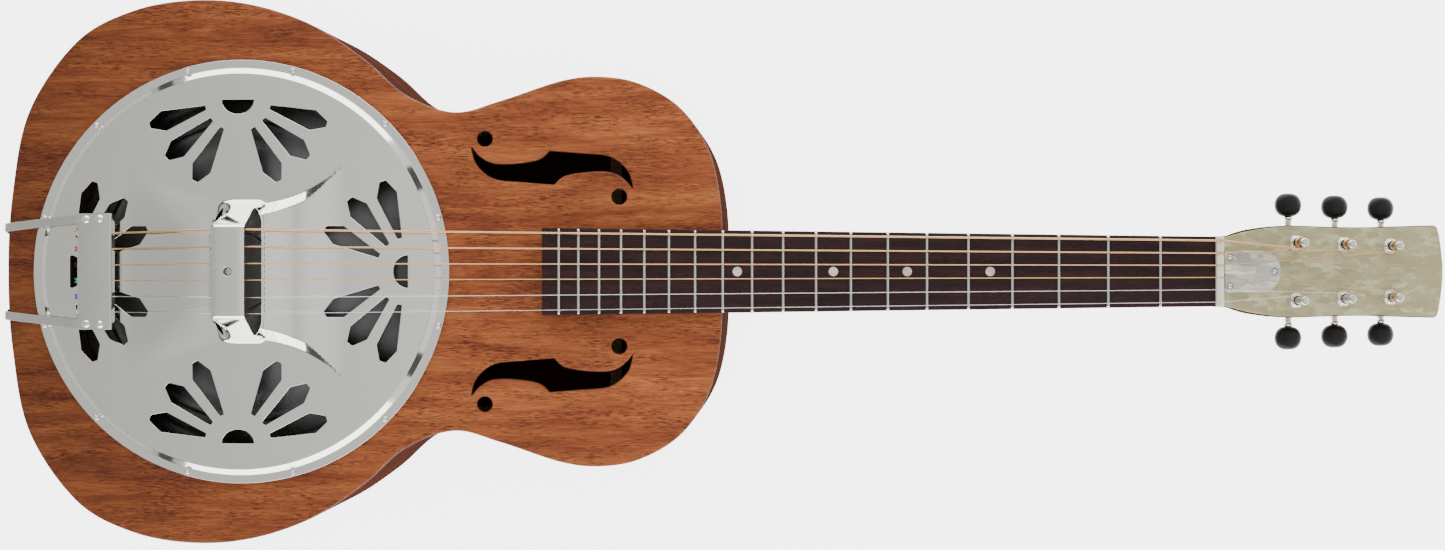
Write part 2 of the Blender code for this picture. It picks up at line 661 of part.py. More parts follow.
def moon_outline():
    """The half moon at the outer end of a fan, flat side outward, for a fan towards +X."""
    turns = [math.pi * i / FAN_MOON_STEPS for i in range(FAN_MOON_STEPS + 1)]
    return [(FAN_MOON_OFFSET - FAN_MOON_DEPTH * math.sin(turn), FAN_MOON_HALF_WIDTH * math.cos(turn))
            for turn in turns]


def petal_outline(angle):
    """One six-sided petal of a fan towards +X, its axis turned from the fan's inward axis by the angle."""
    side = [(reach, half) for reach, half in PETAL]
    hexagon = side + [(reach, -half) for reach, half in reversed(side)]
    cos, sin = math.cos(angle), math.sin(angle)
    return [(FAN_RADIUS - (reach * cos - half * sin), reach * sin + half * cos) for reach, half in hexagon]


def cover_openings(low, high):
    bm = bmesh.new()
    for quarter in range(4):
        cos, sin = round(math.cos(quarter * math.pi / 2)), round(math.sin(quarter * math.pi / 2))
        outlines = [moon_outline()] + [petal_outline(math.radians(angle)) for angle in PETAL_ANGLES]
        for outline in outlines:
            prism([(cos * x - sin * y, sin * x + cos * y) for x, y in outline], low, high, bm)
    left, right = (x - COVER_X for x in REST_OPENING_X)
    corner = REST_OPENING_CORNER
    end = REST_OPENING_HALF
    prism(((left, -end + corner), (left + corner, -end), (right - corner, -end), (right, -end + corner),
           (right, end - corner), (right - corner, end), (left + corner, end), (left, end - corner)),
          low, high, bm)
    return bm


def hand_rest():
    """The strip over the bridge, as sections along Y."""
    half_path = list(REST_PROFILE)
    path = [(-y, z) for y, z in half_path] + [(y, z) for y, z in reversed(half_path)]
    centre = REST_X - COVER_X
    rows = []
    for y, z in path:
        top = z
        bottom = z - REST_THICKNESS
        rows.append([Vector((centre - REST_HALF_WIDTH, y, bottom)), Vector((centre + REST_HALF_WIDTH, y, bottom)),
                     Vector((centre + REST_HALF_WIDTH, y, top)), Vector((centre - REST_HALF_WIDTH, y, top))])
    return loft(rows)


def make_cover(materials):
    cover = add_object("cover_plate", cover_shell(), materials["nickel"])
    openings = add_cutter("cover_openings", cover_openings(*COVER_CUT))
    rest = add_cutter("hand_rest", hand_rest())
    screw_hole = turned([(REST_SCREW_RADIUS, z) for z in REST_SCREW_BORE], SMALL_SEGMENTS)
    hole = add_cutter("rest_screw_hole", screw_hole)
    hole.location.x = REST_X - COVER_X
    add_boolean(cover, openings, "DIFFERENCE")
    add_boolean(cover, rest, "UNION")
    add_boolean(cover, hole, "DIFFERENCE")
    frame = add_empty("cover_frame", (COVER_X, 0.0, TOP_Z), (0.0, 0.0, 0.0))
    for obj in (cover, openings, rest, hole):
        obj.parent = frame


# Neck and headstock


def neck_section(x, half_width, depth, roundness, narrowing=0.0):
    """Flat-topped section at X: a superellipse below the fingerboard, drawn in towards its lowest point."""
    along = (x - (BOARD_BOTTOM - GAP) * math.sin(NECK_ANGLE)) / math.cos(NECK_ANGLE)
    top = neck_point(along, 0.0, BOARD_BOTTOM - GAP).z
    return [Vector((x, y, top + z)) for y, z in half_section(half_width, depth, roundness, narrowing)]


def half_section(half_width, depth, roundness, narrowing=0.0):
    steps = 12
    points = []
    for i in range(steps + 1):
        angle = math.pi * i / steps
        cos, sin = math.cos(angle), math.sin(angle)
        y = math.copysign(abs(cos) ** (2 / roundness), cos) * half_width
        drop = abs(sin) ** (2 / roundness)
        points.append((y * (1 - narrowing * drop), -depth * drop))
    return points


def head_section(along, half_width, roundness):
    thickness = WOOD_TOP - WOOD_BOTTOM
    return [head_point(along, y, WOOD_TOP + z) for y, z in half_section(half_width, thickness, roundness)]


def neck_rows():
    rows = []
    body_x = JOINT_X + GAP
    end_x = neck_point(NECK_END, 0.0, BOARD_BOTTOM).x
    heel = [body_x + HEEL_LENGTH * share for share in HEEL_STATIONS]
    for x in [*heel, *NECK_STATIONS, end_x]:
        share = (x - body_x) / (end_x - body_x)
        depth = NECK_DEPTH_BODY + (NECK_DEPTH_NUT - NECK_DEPTH_BODY) * share
        curl = max(0.0, 1 - (x - body_x) / HEEL_LENGTH)
        depth += (HEEL_DEPTH - NECK_DEPTH_BODY) * curl ** HEEL_CURL
        half_width = board_half_width(x / math.cos(NECK_ANGLE))
        narrowing = (1 - HEEL_TIP_HALF_WIDTH / half_width) * curl ** HEEL_NARROWING
        roundness = NECK_ROUNDNESS + (HEEL_ROUNDNESS - NECK_ROUNDNESS) * curl
        rows.append(neck_section(x, half_width, depth, roundness, narrowing))
    rows.append(head_section(*VOLUTE))
    for along, half_width in HEAD_OUTLINE[1:]:
        roundness = HEAD_BLEND_ROUNDNESS if along < HEAD_BLEND_LENGTH else HEAD_ROUNDNESS
        rows.append(head_section(along, half_width, roundness))
    return rows + [head_section(along, half_width, HEAD_ROUNDNESS) for along, half_width in HEAD_TIP]


def make_neck(materials):
    neck = add_object("neck", loft(neck_rows()), materials["side_mahogany"])
    tenon = box((JOINT_X - TENON_LENGTH, -TENON_HALF_WIDTH, TENON_BOTTOM),
                (JOINT_X + TENON_INTO_HEEL, TENON_HALF_WIDTH, INNER_TOP - GAP))
    add_boolean(neck, add_cutter("neck_tenon", tenon), "UNION")
    add_boolean(neck, truss_channel(), "DIFFERENCE")
    holes = post_holes("neck_post_holes", WOOD_BOTTOM - OVERSHOOT, WOOD_TOP + OVERSHOOT)
    add_boolean(neck, holes, "DIFFERENCE")


def truss_channel():
    half = TRUSS_CHANNEL_HALF
    bm = bmesh.new()
    floor = BOARD_BOTTOM - GAP - TRUSS_CHANNEL_DEPTH
    rows = [[neck_point(along, -half, floor), neck_point(along, half, floor),
             neck_point(along, half, BOARD_TOP), neck_point(along, -half, BOARD_TOP)]
            for along in (TRUSS_CHANNEL_START, TRUSS_CHANNEL_END)]
    loft(rows, bm=bm)
    return add_cutter("truss_channel", bm)


def make_truss_rod(materials):
    """A straight rod that lies in the open channel and ends in the pocket past the nut."""
    centre = BOARD_BOTTOM - GAP - TRUSS_CHANNEL_DEPTH / 2
    length = TRUSS_ROD_END - TRUSS_ROD_START
    bm = turned(((TRUSS_ROD_RADIUS, 0.0), (TRUSS_ROD_RADIUS, length)), SMALL_SEGMENTS)
    rod = add_object("truss_rod", bm, materials["steel"])
    rod.location = neck_point(TRUSS_ROD_START, 0.0, centre)
    rod.rotation_euler = (0.0, math.pi / 2 + NECK_ANGLE, 0.0)


def head_outline(start):
    """The headstock's face, from the treble side of its start round the tip to the bass side."""
    side = [(start, HEAD_OUTLINE[0][1])] + list(HEAD_OUTLINE[1:]) + list(HEAD_TIP)
    return [(along, -half) for along, half in side] + [(along, half) for along, half in reversed(side)]


def post_holes(name, low, high):
    bm = bmesh.new()
    for along, across in TUNER_ROWS:
        for side in (1, -1):
            prism(circle(POST_HOLE_RADIUS, SMALL_SEGMENTS, (along, side * across)), low, high, bm)
    cutter = add_cutter(name, bm)
    cutter.location = head_point(0.0, 0.0, 0.0)
    cutter.rotation_euler = (0.0, HEAD_LEAN, 0.0)
    return cutter


def make_veneer(materials, head_frame):
    """Thin facing with a notch at the nut, where the truss rod's pocket opens."""
    half = TRUSS_POCKET_HALF
    notch = [(VENEER_START, half), (TRUSS_POCKET_LENGTH, half), (TRUSS_POCKET_LENGTH, -half),
             (VENEER_START, -half)]
    bm = prism(head_outline(VENEER_START) + notch, -VENEER_THICKNESS, 0.0)
    veneer = add_object("headstock_veneer", bm, materials["cream_pearl"], head_frame)
    add_boolean(veneer, post_holes("veneer_post_holes", -OVERSHOOT, OVERSHOOT), "DIFFERENCE")


def make_truss_cover(materials, head_frame):
    """A bell-shaped plate over the rod's pocket: square at the nut, round at the far end."""
    width = TRUSS_COVER_HALF_WIDTH
    straight = TRUSS_COVER_STRAIGHT
    outline = [(VENEER_START, -width), (straight, -width)]
    for degrees in range(-75, 76, 15):
        turn = math.radians(degrees)
        outline.append((straight + TRUSS_COVER_ROUND * math.cos(turn), width * math.sin(turn)))
    outline += [(straight, width), (VENEER_START, width)]
    plate = prism(outline, GAP, GAP + TRUSS_COVER_THICKNESS)
    add_object("truss_rod_cover", plate, materials["white_pearl"], head_frame)


def make_fingerboard(materials, neck_frame):
    """Tapered board with its frets standing out of it. Local X runs along the fret tops from the saddle."""
    ends = (BOARD_END, SCALE_LENGTH - GAP)
    outline = [(ends[0], -board_half_width(ends[0])), (ends[1], -board_half_width(ends[1])),
               (ends[1], board_half_width(ends[1])), (ends[0], board_half_width(ends[0]))]
    board = add_object("fingerboard", prism(outline, BOARD_BOTTOM, BOARD_TOP), materials["rosewood"], neck_frame)
    bm = bmesh.new()
    for fret in range(1, FRET_COUNT + 1):
        along = SCALE_LENGTH * 2 ** (-fret / 12)
        half = board_half_width(along) - FRET_END_INSET
        box((along - FRET_HALF_WIDTH, -half, BOARD_TOP - FRET_TANG),
            (along + FRET_HALF_WIDTH, half, -FRET_CROWN_GAP), bm)
    frets = add_cutter("fret_wires", bm, neck_frame)
    add_boolean(board, frets, "UNION")


def make_wedge(materials):
    """Fills the rising gap between the top and the fingerboard's end."""
    rows = []
    for x in WEDGE_X:
        along = x / math.cos(NECK_ANGLE)
        high = neck_point(along, 0.0, BOARD_BOTTOM - WEDGE_CLEARANCE).z
        half = board_half_width(along) - WEDGE_SIDE_INSET
        low = TOP_Z + GAP
        rows.append([Vector((x, -half, low)), Vector((x, half, low)), Vector((x, half, high)),
                     Vector((x, -half, high))])
    add_object("fingerboard_wedge", loft(rows), materials["side_mahogany"])


def make_nut(materials, neck_frame):
    low = BOARD_BOTTOM
    back_high = HEAD_DROP + NUT_BACK_RISE
    front_high = STRING_OVER_NUT - NUT_UNDER_STRINGS
    rows = []
    for y in (-NUT_HALF_WIDTH, NUT_HALF_WIDTH):
        rows.append([Vector((SCALE_LENGTH, y, low)), Vector((NUT_BACK, y, low)), Vector((NUT_BACK, y, back_high)),
                     Vector((SCALE_LENGTH + NUT_CREST_LENGTH, y, front_high)),
                     Vector((SCALE_LENGTH, y, front_high))])
    add_object("nut", loft(rows), materials["bone"], neck_frame)


# Strings and tailpiece


def string_side(row_index):
    return 1 if row_index < 3 else -1


def string_route(index):
    """Ball end, tailpiece lip, saddle, nut and the inner side of its post."""
    _, radius, y_tail, y_saddle, y_nut, row = STRINGS[index]
    side = string_side(index)
    along, across = TUNER_ROWS[row]
    post_y = side * (across - POST_RADIUS - radius - 2 * GAP)
    ball = Vector((STRING_BALL_X, y_tail, TOP_Z + STRING_BALL_Z))
    lip = Vector((BAR_X[1], y_tail, TOP_Z + STRING_LIP_Z))
    saddle = neck_point(0.0, y_saddle, STRING_OVER_SADDLE + radius)
    over_nut = STRING_OVER_NUT + radius
    nut_front = neck_point(SCALE_LENGTH + NUT_SLOT_X[0], y_nut, over_nut)
    nut_back = neck_point(SCALE_LENGTH + NUT_SLOT_X[1], y_nut, over_nut - NUT_SLOT_FALL)
    post = head_point(along, post_y, STRING_POST_HEIGHT)
    return [ball, lip, saddle, nut_front, nut_back, post]


def make_strings(materials):
    for index, (name, radius, *_, _) in enumerate(STRINGS):
        curve = bpy.data.curves.new(f"string_{name}", "CURVE")
        curve.dimensions = "3D"
        curve.bevel_depth = radius
        curve.bevel_resolution = 1
        curve.use_fill_caps = True
        route = string_route(index)
        line = curve.splines.new("POLY")
        line.points.add(len(route) - 1)
        for point, place in zip(line.points, route):
            point.co = (*place, 1.0)
        curve.materials.append(materials["bronze" if index < 4 else "steel"])
        obj = bpy.data.objects.new(f"string_{name}", curve)
        bpy.context.scene.collection.objects.link(obj)


def make_crossbar(materials):
    """A folded sheet: a top face, a full front lip and a short back lip between the straps."""
    back, front = BAR_X
    top = TOP_Z + BAR_TOP
    under = top - BAR_SHEET
    half = BAR_HALF_LENGTH
    section = [(back, under), (back, top), (front - BAR_CORNER, top), (front, top - BAR_CORNER),
               (front, top - BAR_FRONT_LIP), (front - BAR_SHEET, top - BAR_FRONT_LIP),
               (front - BAR_SHEET, under)]
    bar = add_object("tailpiece_crossbar", loft([[Vector((x, y, z)) for x, z in section] for y in (-half, half)]),
                     materials["nickel"])
    lip = box((back, -BAR_BACK_LIP_HALF, top - BAR_BACK_LIP),
              (back + BAR_SHEET, BAR_BACK_LIP_HALF, under + OVERLAP))
    add_boolean(bar, add_cutter("crossbar_back_lip", lip), "UNION")
    add_boolean(bar, string_holes(), "DIFFERENCE")


def string_holes():
    bm = bmesh.new()
    for index, (_, radius, *_, _) in enumerate(STRINGS):
        ball, lip = string_route(index)[:2]
        along = (lip - ball).normalized()
        clear = radius + STRING_HOLE_CLEARANCE
        rows = []
        for place in (ball - along * STRING_HOLE_ENDS[0], lip + along * STRING_HOLE_ENDS[1]):
            rows.append([place + Vector((0.0, clear * math.cos(angle), clear * math.sin(angle)))
                         for angle in [math.pi / 4 * i for i in range(8)]])
        loft(rows, bm=bm)
    return add_cutter("string_holes", bm)


def strap_path(side):
    """Middle of the strap as (place, width direction), from under the crossbar over the tail to the bracket."""
    height = TOP_Z + BAR_TOP - BAR_SHEET - STRAP_CLEARANCE - STRAP_SHEET / 2
    tail_face = TAIL_X - GAP - STRAP_SHEET / 2
    flat = Vector((0.0, side, 0.0))
    y_tail = side * STRAP_Y_TAIL
    y_bar = side * STRAP_Y_BAR
    down = Vector((0.0, side * (STRAP_Y_BRACKET - STRAP_Y_TAIL), BRACKET_Z[0] - TOP_Z)).normalized()
    slant = Vector((0.0, side * abs(down.z), -abs(down.y)))
    end = Vector((tail_face, side * STRAP_Y_BRACKET, BRACKET_Z[0] + STRAP_END_RISE))
    path = [(Vector((x, y_bar, height)), flat) for x in STRAP_BAR_X]
    path += [(Vector((TAIL_X + x, y_tail, TOP_Z + z)), flat) for x, z in STRAP_EDGE_BEND]
    for (inward, z), width in zip(STRAP_FACE_BEND, (flat, slant)):
        path.append((Vector((tail_face, y_tail - side * inward, TOP_Z + z)), width))
    return path + [(end, slant)]


def make_straps(materials):
    for name, side in (("bass_tail_strap", 1), ("treble_tail_strap", -1)):
        path = strap_path(side)
        rows = []
        for i, (place, width) in enumerate(path):
            before = path[max(i - 1, 0)][0]
            after = path[min(i + 1, len(path) - 1)][0]
            along = (after - before).normalized()
            normal = along.cross(width).normalized()
            across = width.normalized() * STRAP_HALF_WIDTH
            thick = normal * (STRAP_SHEET / 2)
            rows.append([place - across - thick, place + across - thick, place + across + thick,
                         place - across + thick])
        add_object(name, loft(rows), materials["nickel"])


def make_bracket(materials):
    inner = TAIL_X - 2 * GAP - STRAP_SHEET
    outer = inner - STRAP_SHEET
    half = BRACKET_HALF_WIDTH
    low, high = BRACKET_Z
    corner = BRACKET_CORNER
    section = [(-half + corner, low), (half - corner, low), (half, low + corner), (half, high),
               (-half, high), (-half, low + corner)]
    rows = [[Vector((x, y, z)) for y, z in section] for x in (outer, inner)]
    bracket = add_object("tailpiece_bracket", loft(rows), materials["nickel"])
    add_boolean(bracket, end_pin_bore("bracket_pin_bore"), "DIFFERENCE")


def make_end_pin(materials):
    face = TAIL_X - 3 * GAP - 2 * STRAP_SHEET
    profile = [(END_PIN_SHANK, -END_PIN_DEPTH), (END_PIN_SHANK, 0.0)] + [(r, x) for x, r in END_PIN_PROFILE]
    pin = add_object("end_pin", turned(profile, PIN_SEGMENTS), materials["nickel"])
    pin.location = (face, 0.0, END_PIN_Z)
    pin.rotation_euler = (0.0, -math.pi / 2, 0.0)


# Tuners


def gear_outline(turn):
    """Fourteen straight-flanked teeth with a gap centred on the turn angle."""
    pitch = 2 * math.pi / GEAR_TEETH
    tip = TOOTH_TIP_WIDTH / 2 / GEAR_TIP_RADIUS
    root = TOOTH_ROOT_WIDTH / 2 / GEAR_ROOT_RADIUS
    points = []
    for tooth in range(GEAR_TEETH):
        middle = turn + (tooth + 0.5) * pitch
        for radius, angle in ((GEAR_ROOT_RADIUS, -root), (GEAR_TIP_RADIUS, -tip), (GEAR_TIP_RADIUS, tip),
                              (GEAR_ROOT_RADIUS, root)):
            points.append((radius * math.cos(middle + angle), radius * math.sin(middle + angle)))
    return points


def post_shape():
    """The roller gear at the worm's height, its teeth slanted as the worm's thread is."""
    lead = WORM_PITCH / (2 * math.pi * (WORM_OFFSET - GEAR_PITCH_RADIUS))
    slant = GEAR_THICKNESS / 2 * lead / GEAR_PITCH_RADIUS
    low = -WORM_DEPTH - GEAR_THICKNESS / 2
    high = -WORM_DEPTH + GEAR_THICKNESS / 2
    return loft([at_height(gear_outline(-slant), low), at_height(gear_outline(slant), high)])


def make_post(name, parent, materials):
    post = add_object(name, post_shape(), materials["nickel"], parent)
    low = -WORM_DEPTH - GEAR_THICKNESS / 2 - POST_EDGE
    bm = turned(((POST_RADIUS * POST_TAPER, low), (POST_RADIUS, low + POST_EDGE / 2),
                 (POST_RADIUS, POST_TOP - POST_EDGE), (POST_RADIUS - POST_EDGE, POST_TOP)), SMALL_SEGMENTS)
    add_boolean(post, add_cutter(f"{name}_barrel", bm, parent), "UNION")


def worm_rows():
    """Rings round local Z. The thread's crest faces local X at Z = 0, and it is right-handed."""
    half_tip = WORM_TIP_WIDTH / 2
    half_base = WORM_BASE_WIDTH / 2
    turns = math.ceil(2 * WORM_HALF_LENGTH / WORM_PITCH / 2) + 1
    columns = []
    for i in range(WORM_SEGMENTS):
        angle = 2 * math.pi * i / WORM_SEGMENTS
        lift = WORM_PITCH * i / WORM_SEGMENTS
        column = []
        for turn in range(-turns, turns + 1):
            for offset, radius in ((-half_base, WORM_ROOT_RADIUS), (-half_tip, WORM_TIP_RADIUS),
                                   (half_tip, WORM_TIP_RADIUS), (half_base, WORM_ROOT_RADIUS)):
                z = turn * WORM_PITCH + lift + offset
                if abs(z) > WORM_HALF_LENGTH:
                    z = math.copysign(WORM_HALF_LENGTH, z)
                    radius = WORM_ROOT_RADIUS
                column.append(Vector((radius * math.cos(angle), radius * math.sin(angle), z)))
        columns.append(column)
    return columns


def worm_shape(shaft_end):
    """Thread skin joined turn to turn: after one round, each ring meets the one a pitch further on."""
    per_turn = 4
    columns = worm_rows()
    bm = bmesh.new()
    verts = [[bm.verts.new(point) for point in column] for column in columns]
    count = len(columns[0])
    for i in range(WORM_SEGMENTS):
        last = i == WORM_SEGMENTS - 1
        following = verts[0] if last else verts[i + 1]
        shift = per_turn if last else 0
        for k in range(count - 1):
            a = verts[i][k]
            b = verts[i][k + 1]
            c = following[min(k + 1 + shift, count - 1)]
            d = following[min(k + shift, count - 1)]
            corners = []
            for vert in (a, b, c, d):
                if vert not in corners:
                    corners.append(vert)
            if len(corners) > 2:
                bm.faces.new(corners)
        if last:
            # The first pitch of the first ring closes against the last ring's lower end.
            for k in range(per_turn):
                bm.faces.new((verts[i][0], following[k + 1], following[k]))
    bmesh.ops.remove_doubles(bm, verts=bm.verts, dist=1e-7)
    bmesh.ops.dissolve_degenerate(bm, dist=1e-7, edges=bm.edges)
    ends = ((-WORM_HALF_LENGTH, SHAFT_START), (WORM_HALF_LENGTH, shaft_end))
    for z, end in ends:
        rim = [edge for edge in bm.edges if edge.is_boundary and all(abs(v.co.z - z) < 1e-7 for v in edge.verts)]
        made = bmesh.ops.extrude_edge_only(bm, edges=rim)
        new_verts = [item for item in made["geom"] if isinstance(item, bmesh.types.BMVert)]
        for vert in new_verts:
            vert.co.z = end
        new_edges = [item for item in made["geom"] if isinstance(item, bmesh.types.BMEdge)]
        bmesh.ops.contextual_create(bm, geom=[edge for edge in new_edges if edge.is_boundary])
    return bm


def button_shape():
    """Flattened oval knob about local Z, which is the shaft's axis."""
    rows = []
    first = math.cos(math.pi * 0.5 / BUTTON_STATIONS)
    for i in range(BUTTON_STATIONS):
        angle = math.pi * (i + 0.5) / BUTTON_STATIONS
        swell = math.sin(angle) ** BUTTON_FULLNESS
        z = -BUTTON_HALF[2] * math.cos(angle) / first
        rows.append([Vector((x * BUTTON_HALF[0], y * BUTTON_HALF[1], z)) for x, y in circle(swell, SMALL_SEGMENTS)])
    return loft(rows)


def make_plate(name, side, parent, materials):
    top = WOOD_BOTTOM - GAP
    bottom = top - PLATE_THICKNESS
    bm = box((PLATE_X[0], -PLATE_HALF_WIDTH, bottom), (PLATE_X[1], PLATE_HALF_WIDTH, top))
    plate = add_object(name, bm, materials["nickel"], parent)
    for end in (-1, 1):
        inner = end * EAR_INNER
        outer = end * (EAR_INNER + EAR_THICKNESS)
        low_y, high_y = min(inner, outer), max(inner, outer)
        ear = box((WORM_OFFSET - EAR_HALF_WIDTH, low_y, -WORM_DEPTH - EAR_HALF_WIDTH),
                  (WORM_OFFSET + EAR_HALF_WIDTH, high_y, bottom + OVERLAP))
        add_boolean(plate, add_cutter(f"{name}_ear_{'in' if end * side < 0 else 'out'}", ear, parent), "UNION")
    bore = turned(((POST_HOLE_RADIUS, bottom - OVERSHOOT), (POST_HOLE_RADIUS, 0.0)), SMALL_SEGMENTS)
    add_boolean(plate, add_cutter(f"{name}_post_bore", bore, parent), "DIFFERENCE")
    bore = turned(((EAR_HOLE_RADIUS, -OVERSHOOT), (EAR_HOLE_RADIUS, OVERSHOOT)), SMALL_SEGMENTS)
    shaft = add_cutter(f"{name}_shaft_bore", bore, parent)
    shaft.location = (WORM_OFFSET, 0.0, -WORM_DEPTH)
    shaft.rotation_euler = (math.pi / 2, 0.0, 0.0)
    add_boolean(plate, shaft, "DIFFERENCE")


def make_key(name, side, parent, materials):
    """Worm shaft and button on one axis, which points outward from the headstock."""
    turn = Matrix(((-1.0, 0.0, 0.0), (0.0, 0.0, side), (0.0, side, 0.0)))
    axis = add_empty(f"{name}_axis", (WORM_OFFSET, 0.0, -WORM_DEPTH), turn.to_euler(), parent)
    shaft_end = BUTTON_OFFSET + BUTTON_BORE_END - GAP
    add_object(f"worm_shaft_{name}", worm_shape(shaft_end), materials["nickel"], axis)
    button = add_object(f"tuner_button_{name}", button_shape(), materials["black_button"], axis)
    button.location.z = BUTTON_OFFSET
    bore = turned(((BUTTON_BORE_RADIUS, -OVERSHOOT), (BUTTON_BORE_RADIUS, BUTTON_BORE_END)), SMALL_SEGMENTS)
    cutter = add_cutter(f"{name}_button_bore", bore, axis)
    cutter.location.z = BUTTON_OFFSET
    add_boolean(button, cutter, "DIFFERENCE")


def make_tuners(materials, head_frame):
    for index, (name, *_, row) in enumerate(STRINGS):
        side = string_side(index)
        along, across = TUNER_ROWS[row]
        frame = add_empty(f"{name}_tuner", (along, side * across, 0.0), (0.0, 0.0, 0.0), head_frame)
        make_post(f"string_post_{name}", frame, materials)
        make_plate(f"tuner_plate_{name}", side, frame, materials)
        make_key(name, side, frame, materials)


def main():
    clear_scene()
    materials = make_finishes()
    make_top(materials)
    make_back(materials)
    make_sides(materials)
    make_linings(materials)
    make_blocks(materials)
    make_braces(materials)
    make_soundwell(materials)
    make_cone(materials)
    make_biscuit(materials)
    make_biscuit_screw(materials)
    make_saddle(materials)
    make_cover(materials)
    make_crossbar(materials)
    make_straps(materials)
    make_bracket(materials)
    make_end_pin(materials)
    make_strings(materials)
    neck_frame = add_empty("neck_frame", (0.0, 0.0, FRET_PLANE_Z), (0.0, NECK_ANGLE, 0.0))
    head_frame = add_empty("head_frame", head_point(0.0, 0.0, 0.0), (0.0, HEAD_LEAN, 0.0))
    make_neck(materials)
    make_truss_rod(materials)
    make_wedge(materials)
    make_fingerboard(materials, neck_frame)
    make_nut(materials, neck_frame)
    make_veneer(materials, head_frame)
    make_truss_cover(materials, head_frame)
    make_tuners(materials, head_frame)


main()
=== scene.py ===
"""Looks for the resonator guitar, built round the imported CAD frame.

Metres, in the frame of the CAD: the origin is on the flat back under the saddle, +X runs to the headstock,
+Y to the bass side and +Z out of the top.
"""

import math

import bpy
import numpy as np
from mathutils import Matrix, Vector, geometry, kdtree


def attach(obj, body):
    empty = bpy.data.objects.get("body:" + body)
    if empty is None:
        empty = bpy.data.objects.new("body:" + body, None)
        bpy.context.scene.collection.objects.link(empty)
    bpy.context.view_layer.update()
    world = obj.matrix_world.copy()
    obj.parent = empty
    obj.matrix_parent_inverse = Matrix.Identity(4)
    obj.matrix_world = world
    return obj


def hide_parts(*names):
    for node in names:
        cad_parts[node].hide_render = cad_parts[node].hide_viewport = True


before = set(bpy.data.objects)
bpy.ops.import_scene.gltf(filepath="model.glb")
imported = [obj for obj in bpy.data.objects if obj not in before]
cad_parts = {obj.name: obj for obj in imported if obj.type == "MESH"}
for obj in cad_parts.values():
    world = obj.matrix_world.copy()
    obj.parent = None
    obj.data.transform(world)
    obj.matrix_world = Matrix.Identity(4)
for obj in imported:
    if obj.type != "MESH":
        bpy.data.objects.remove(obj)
for startup in ("Cube", "Light", "Camera"):
    if startup in bpy.data.objects:
        bpy.data.objects.remove(bpy.data.objects[startup])
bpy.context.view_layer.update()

# Sizes that the looks share with the CAD
SCALE_LENGTH = 0.635
NECK_ANGLE = math.radians(3.3)
HEAD_LEAN = math.radians(15.3)
TOP_Z = 0.095
FRET_PLANE_Z = TOP_Z + 0.008 + SCALE_LENGTH / 2 * math.tan(NECK_ANGLE)
BOARD_END = 0.201
BOARD_HALF_END = 0.0282
NUT_HALF_WIDTH = 0.02255
NUT_BACK = SCALE_LENGTH + 0.0055
HEAD_START = NUT_BACK + 0.0003
HEAD_DROP = -0.0045
TOP_THICKNESS = 0.004
BACK_THICKNESS = 0.0035
SIDE_THICKNESS = 0.003
OUTLINE = ((-0.160, 0.0), (-0.157, 0.052), (-0.1455, 0.1068), (-0.1135, 0.1524), (-0.0761, 0.1726),
           (-0.0355, 0.1796), (0.0049, 0.1764), (0.0451, 0.1628), (0.080, 0.1402), (0.1078, 0.1163),
           (0.140, 0.1045), (0.1713, 0.1119), (0.2108, 0.1245), (0.237, 0.1271), (0.2631, 0.1221),
           (0.2892, 0.1062), (0.3075, 0.079), (0.3155, 0.042), (0.316, 0.0))
F_HOLE_CENTRE = (0.2049, 0.0677)
F_HOLE_OUTER = ((-0.0530, 0.0135), (-0.0495, 0.0024), (-0.0380, -0.0069), (-0.0190, -0.0092),
                (0.0013, -0.0109))
F_HOLE_INNER = ((0.0013, -0.0109), (0.0085, -0.0052), (0.0237, -0.0026), (0.0386, -0.0028),
                (0.0475, -0.0073), (0.0530, -0.0135))
F_HOLE_DOT = (-0.0442, 0.0191)
F_HOLE_DOT_RADIUS = 0.0049
COVER_X = -0.002
COVER_RADIUS = 0.1396
COVER_SHEET = 0.001
FLANGE = 0.0013
COVER_SCREWS = 12
COVER_SCREW_CIRCLE = 0.1369
STEP_OUTER = 0.1345
STEP_INNER = 0.1299
EDGE_HEIGHT = 0.0039
DOME = 0.0046
TOP_HOLE_RADIUS = 0.122


# Shapes. A shape is (vertices, faces, normals), and the normals may be None


def spline(points, steps):
    """Points along a Catmull-Rom curve through open points, ends included."""
    padded = [points[0], *points, points[-1]]
    result = []
    for a, b, c, d in zip(padded, padded[1:], padded[2:], padded[3:]):
        for step in range(steps):
            t = step / steps
            result.append(tuple(
                0.5 * (2 * q + (r - p) * t + (2 * p - 5 * q + 4 * r - s) * t * t
                       + (3 * q - p - 3 * r + s) * t ** 3)
                for p, q, r, s in zip(a, b, c, d)))
    result.append(tuple(points[-1]))
    return result


def offset(loop, amount):
    """A closed loop moved to its left by the amount, with mitred corners."""
    moved = []
    points = [Vector(point) for point in loop]
    for i, point in enumerate(points):
        before = (point - points[i - 1]).normalized()
        after = (points[(i + 1) % len(points)] - point).normalized()
        left = Vector((-before.y, before.x))
        mid = (left + Vector((-after.y, after.x))).normalized()
        moved.append(point + mid * (amount / max(mid.dot(left), 0.4)))
    return [tuple(point) for point in moved]


def circle(radius, segments, centre=(0.0, 0.0), start=0.0):
    turn = 2 * math.pi / segments
    return [(centre[0] + radius * math.cos(start + turn * i), centre[1] + radius * math.sin(start + turn * i))
            for i in range(segments)]


def densify(loop, spacing):
    result = []
    for (x1, y1), (x2, y2) in zip(loop, loop[1:] + loop[:1]):
        steps = max(1, math.ceil(math.hypot(x2 - x1, y2 - y1) / spacing))
        result += [(x1 + (x2 - x1) * i / steps, y1 + (y2 - y1) * i / steps) for i in range(steps)]
    return result


def area(loop):
    return sum(x1 * y2 - x2 * y1 for (x1, y1), (x2, y2) in zip(loop, loop[1:] + loop[:1])) / 2


def turned_to(loop, sign):
    return loop if area(loop) * sign > 0 else loop[::-1]


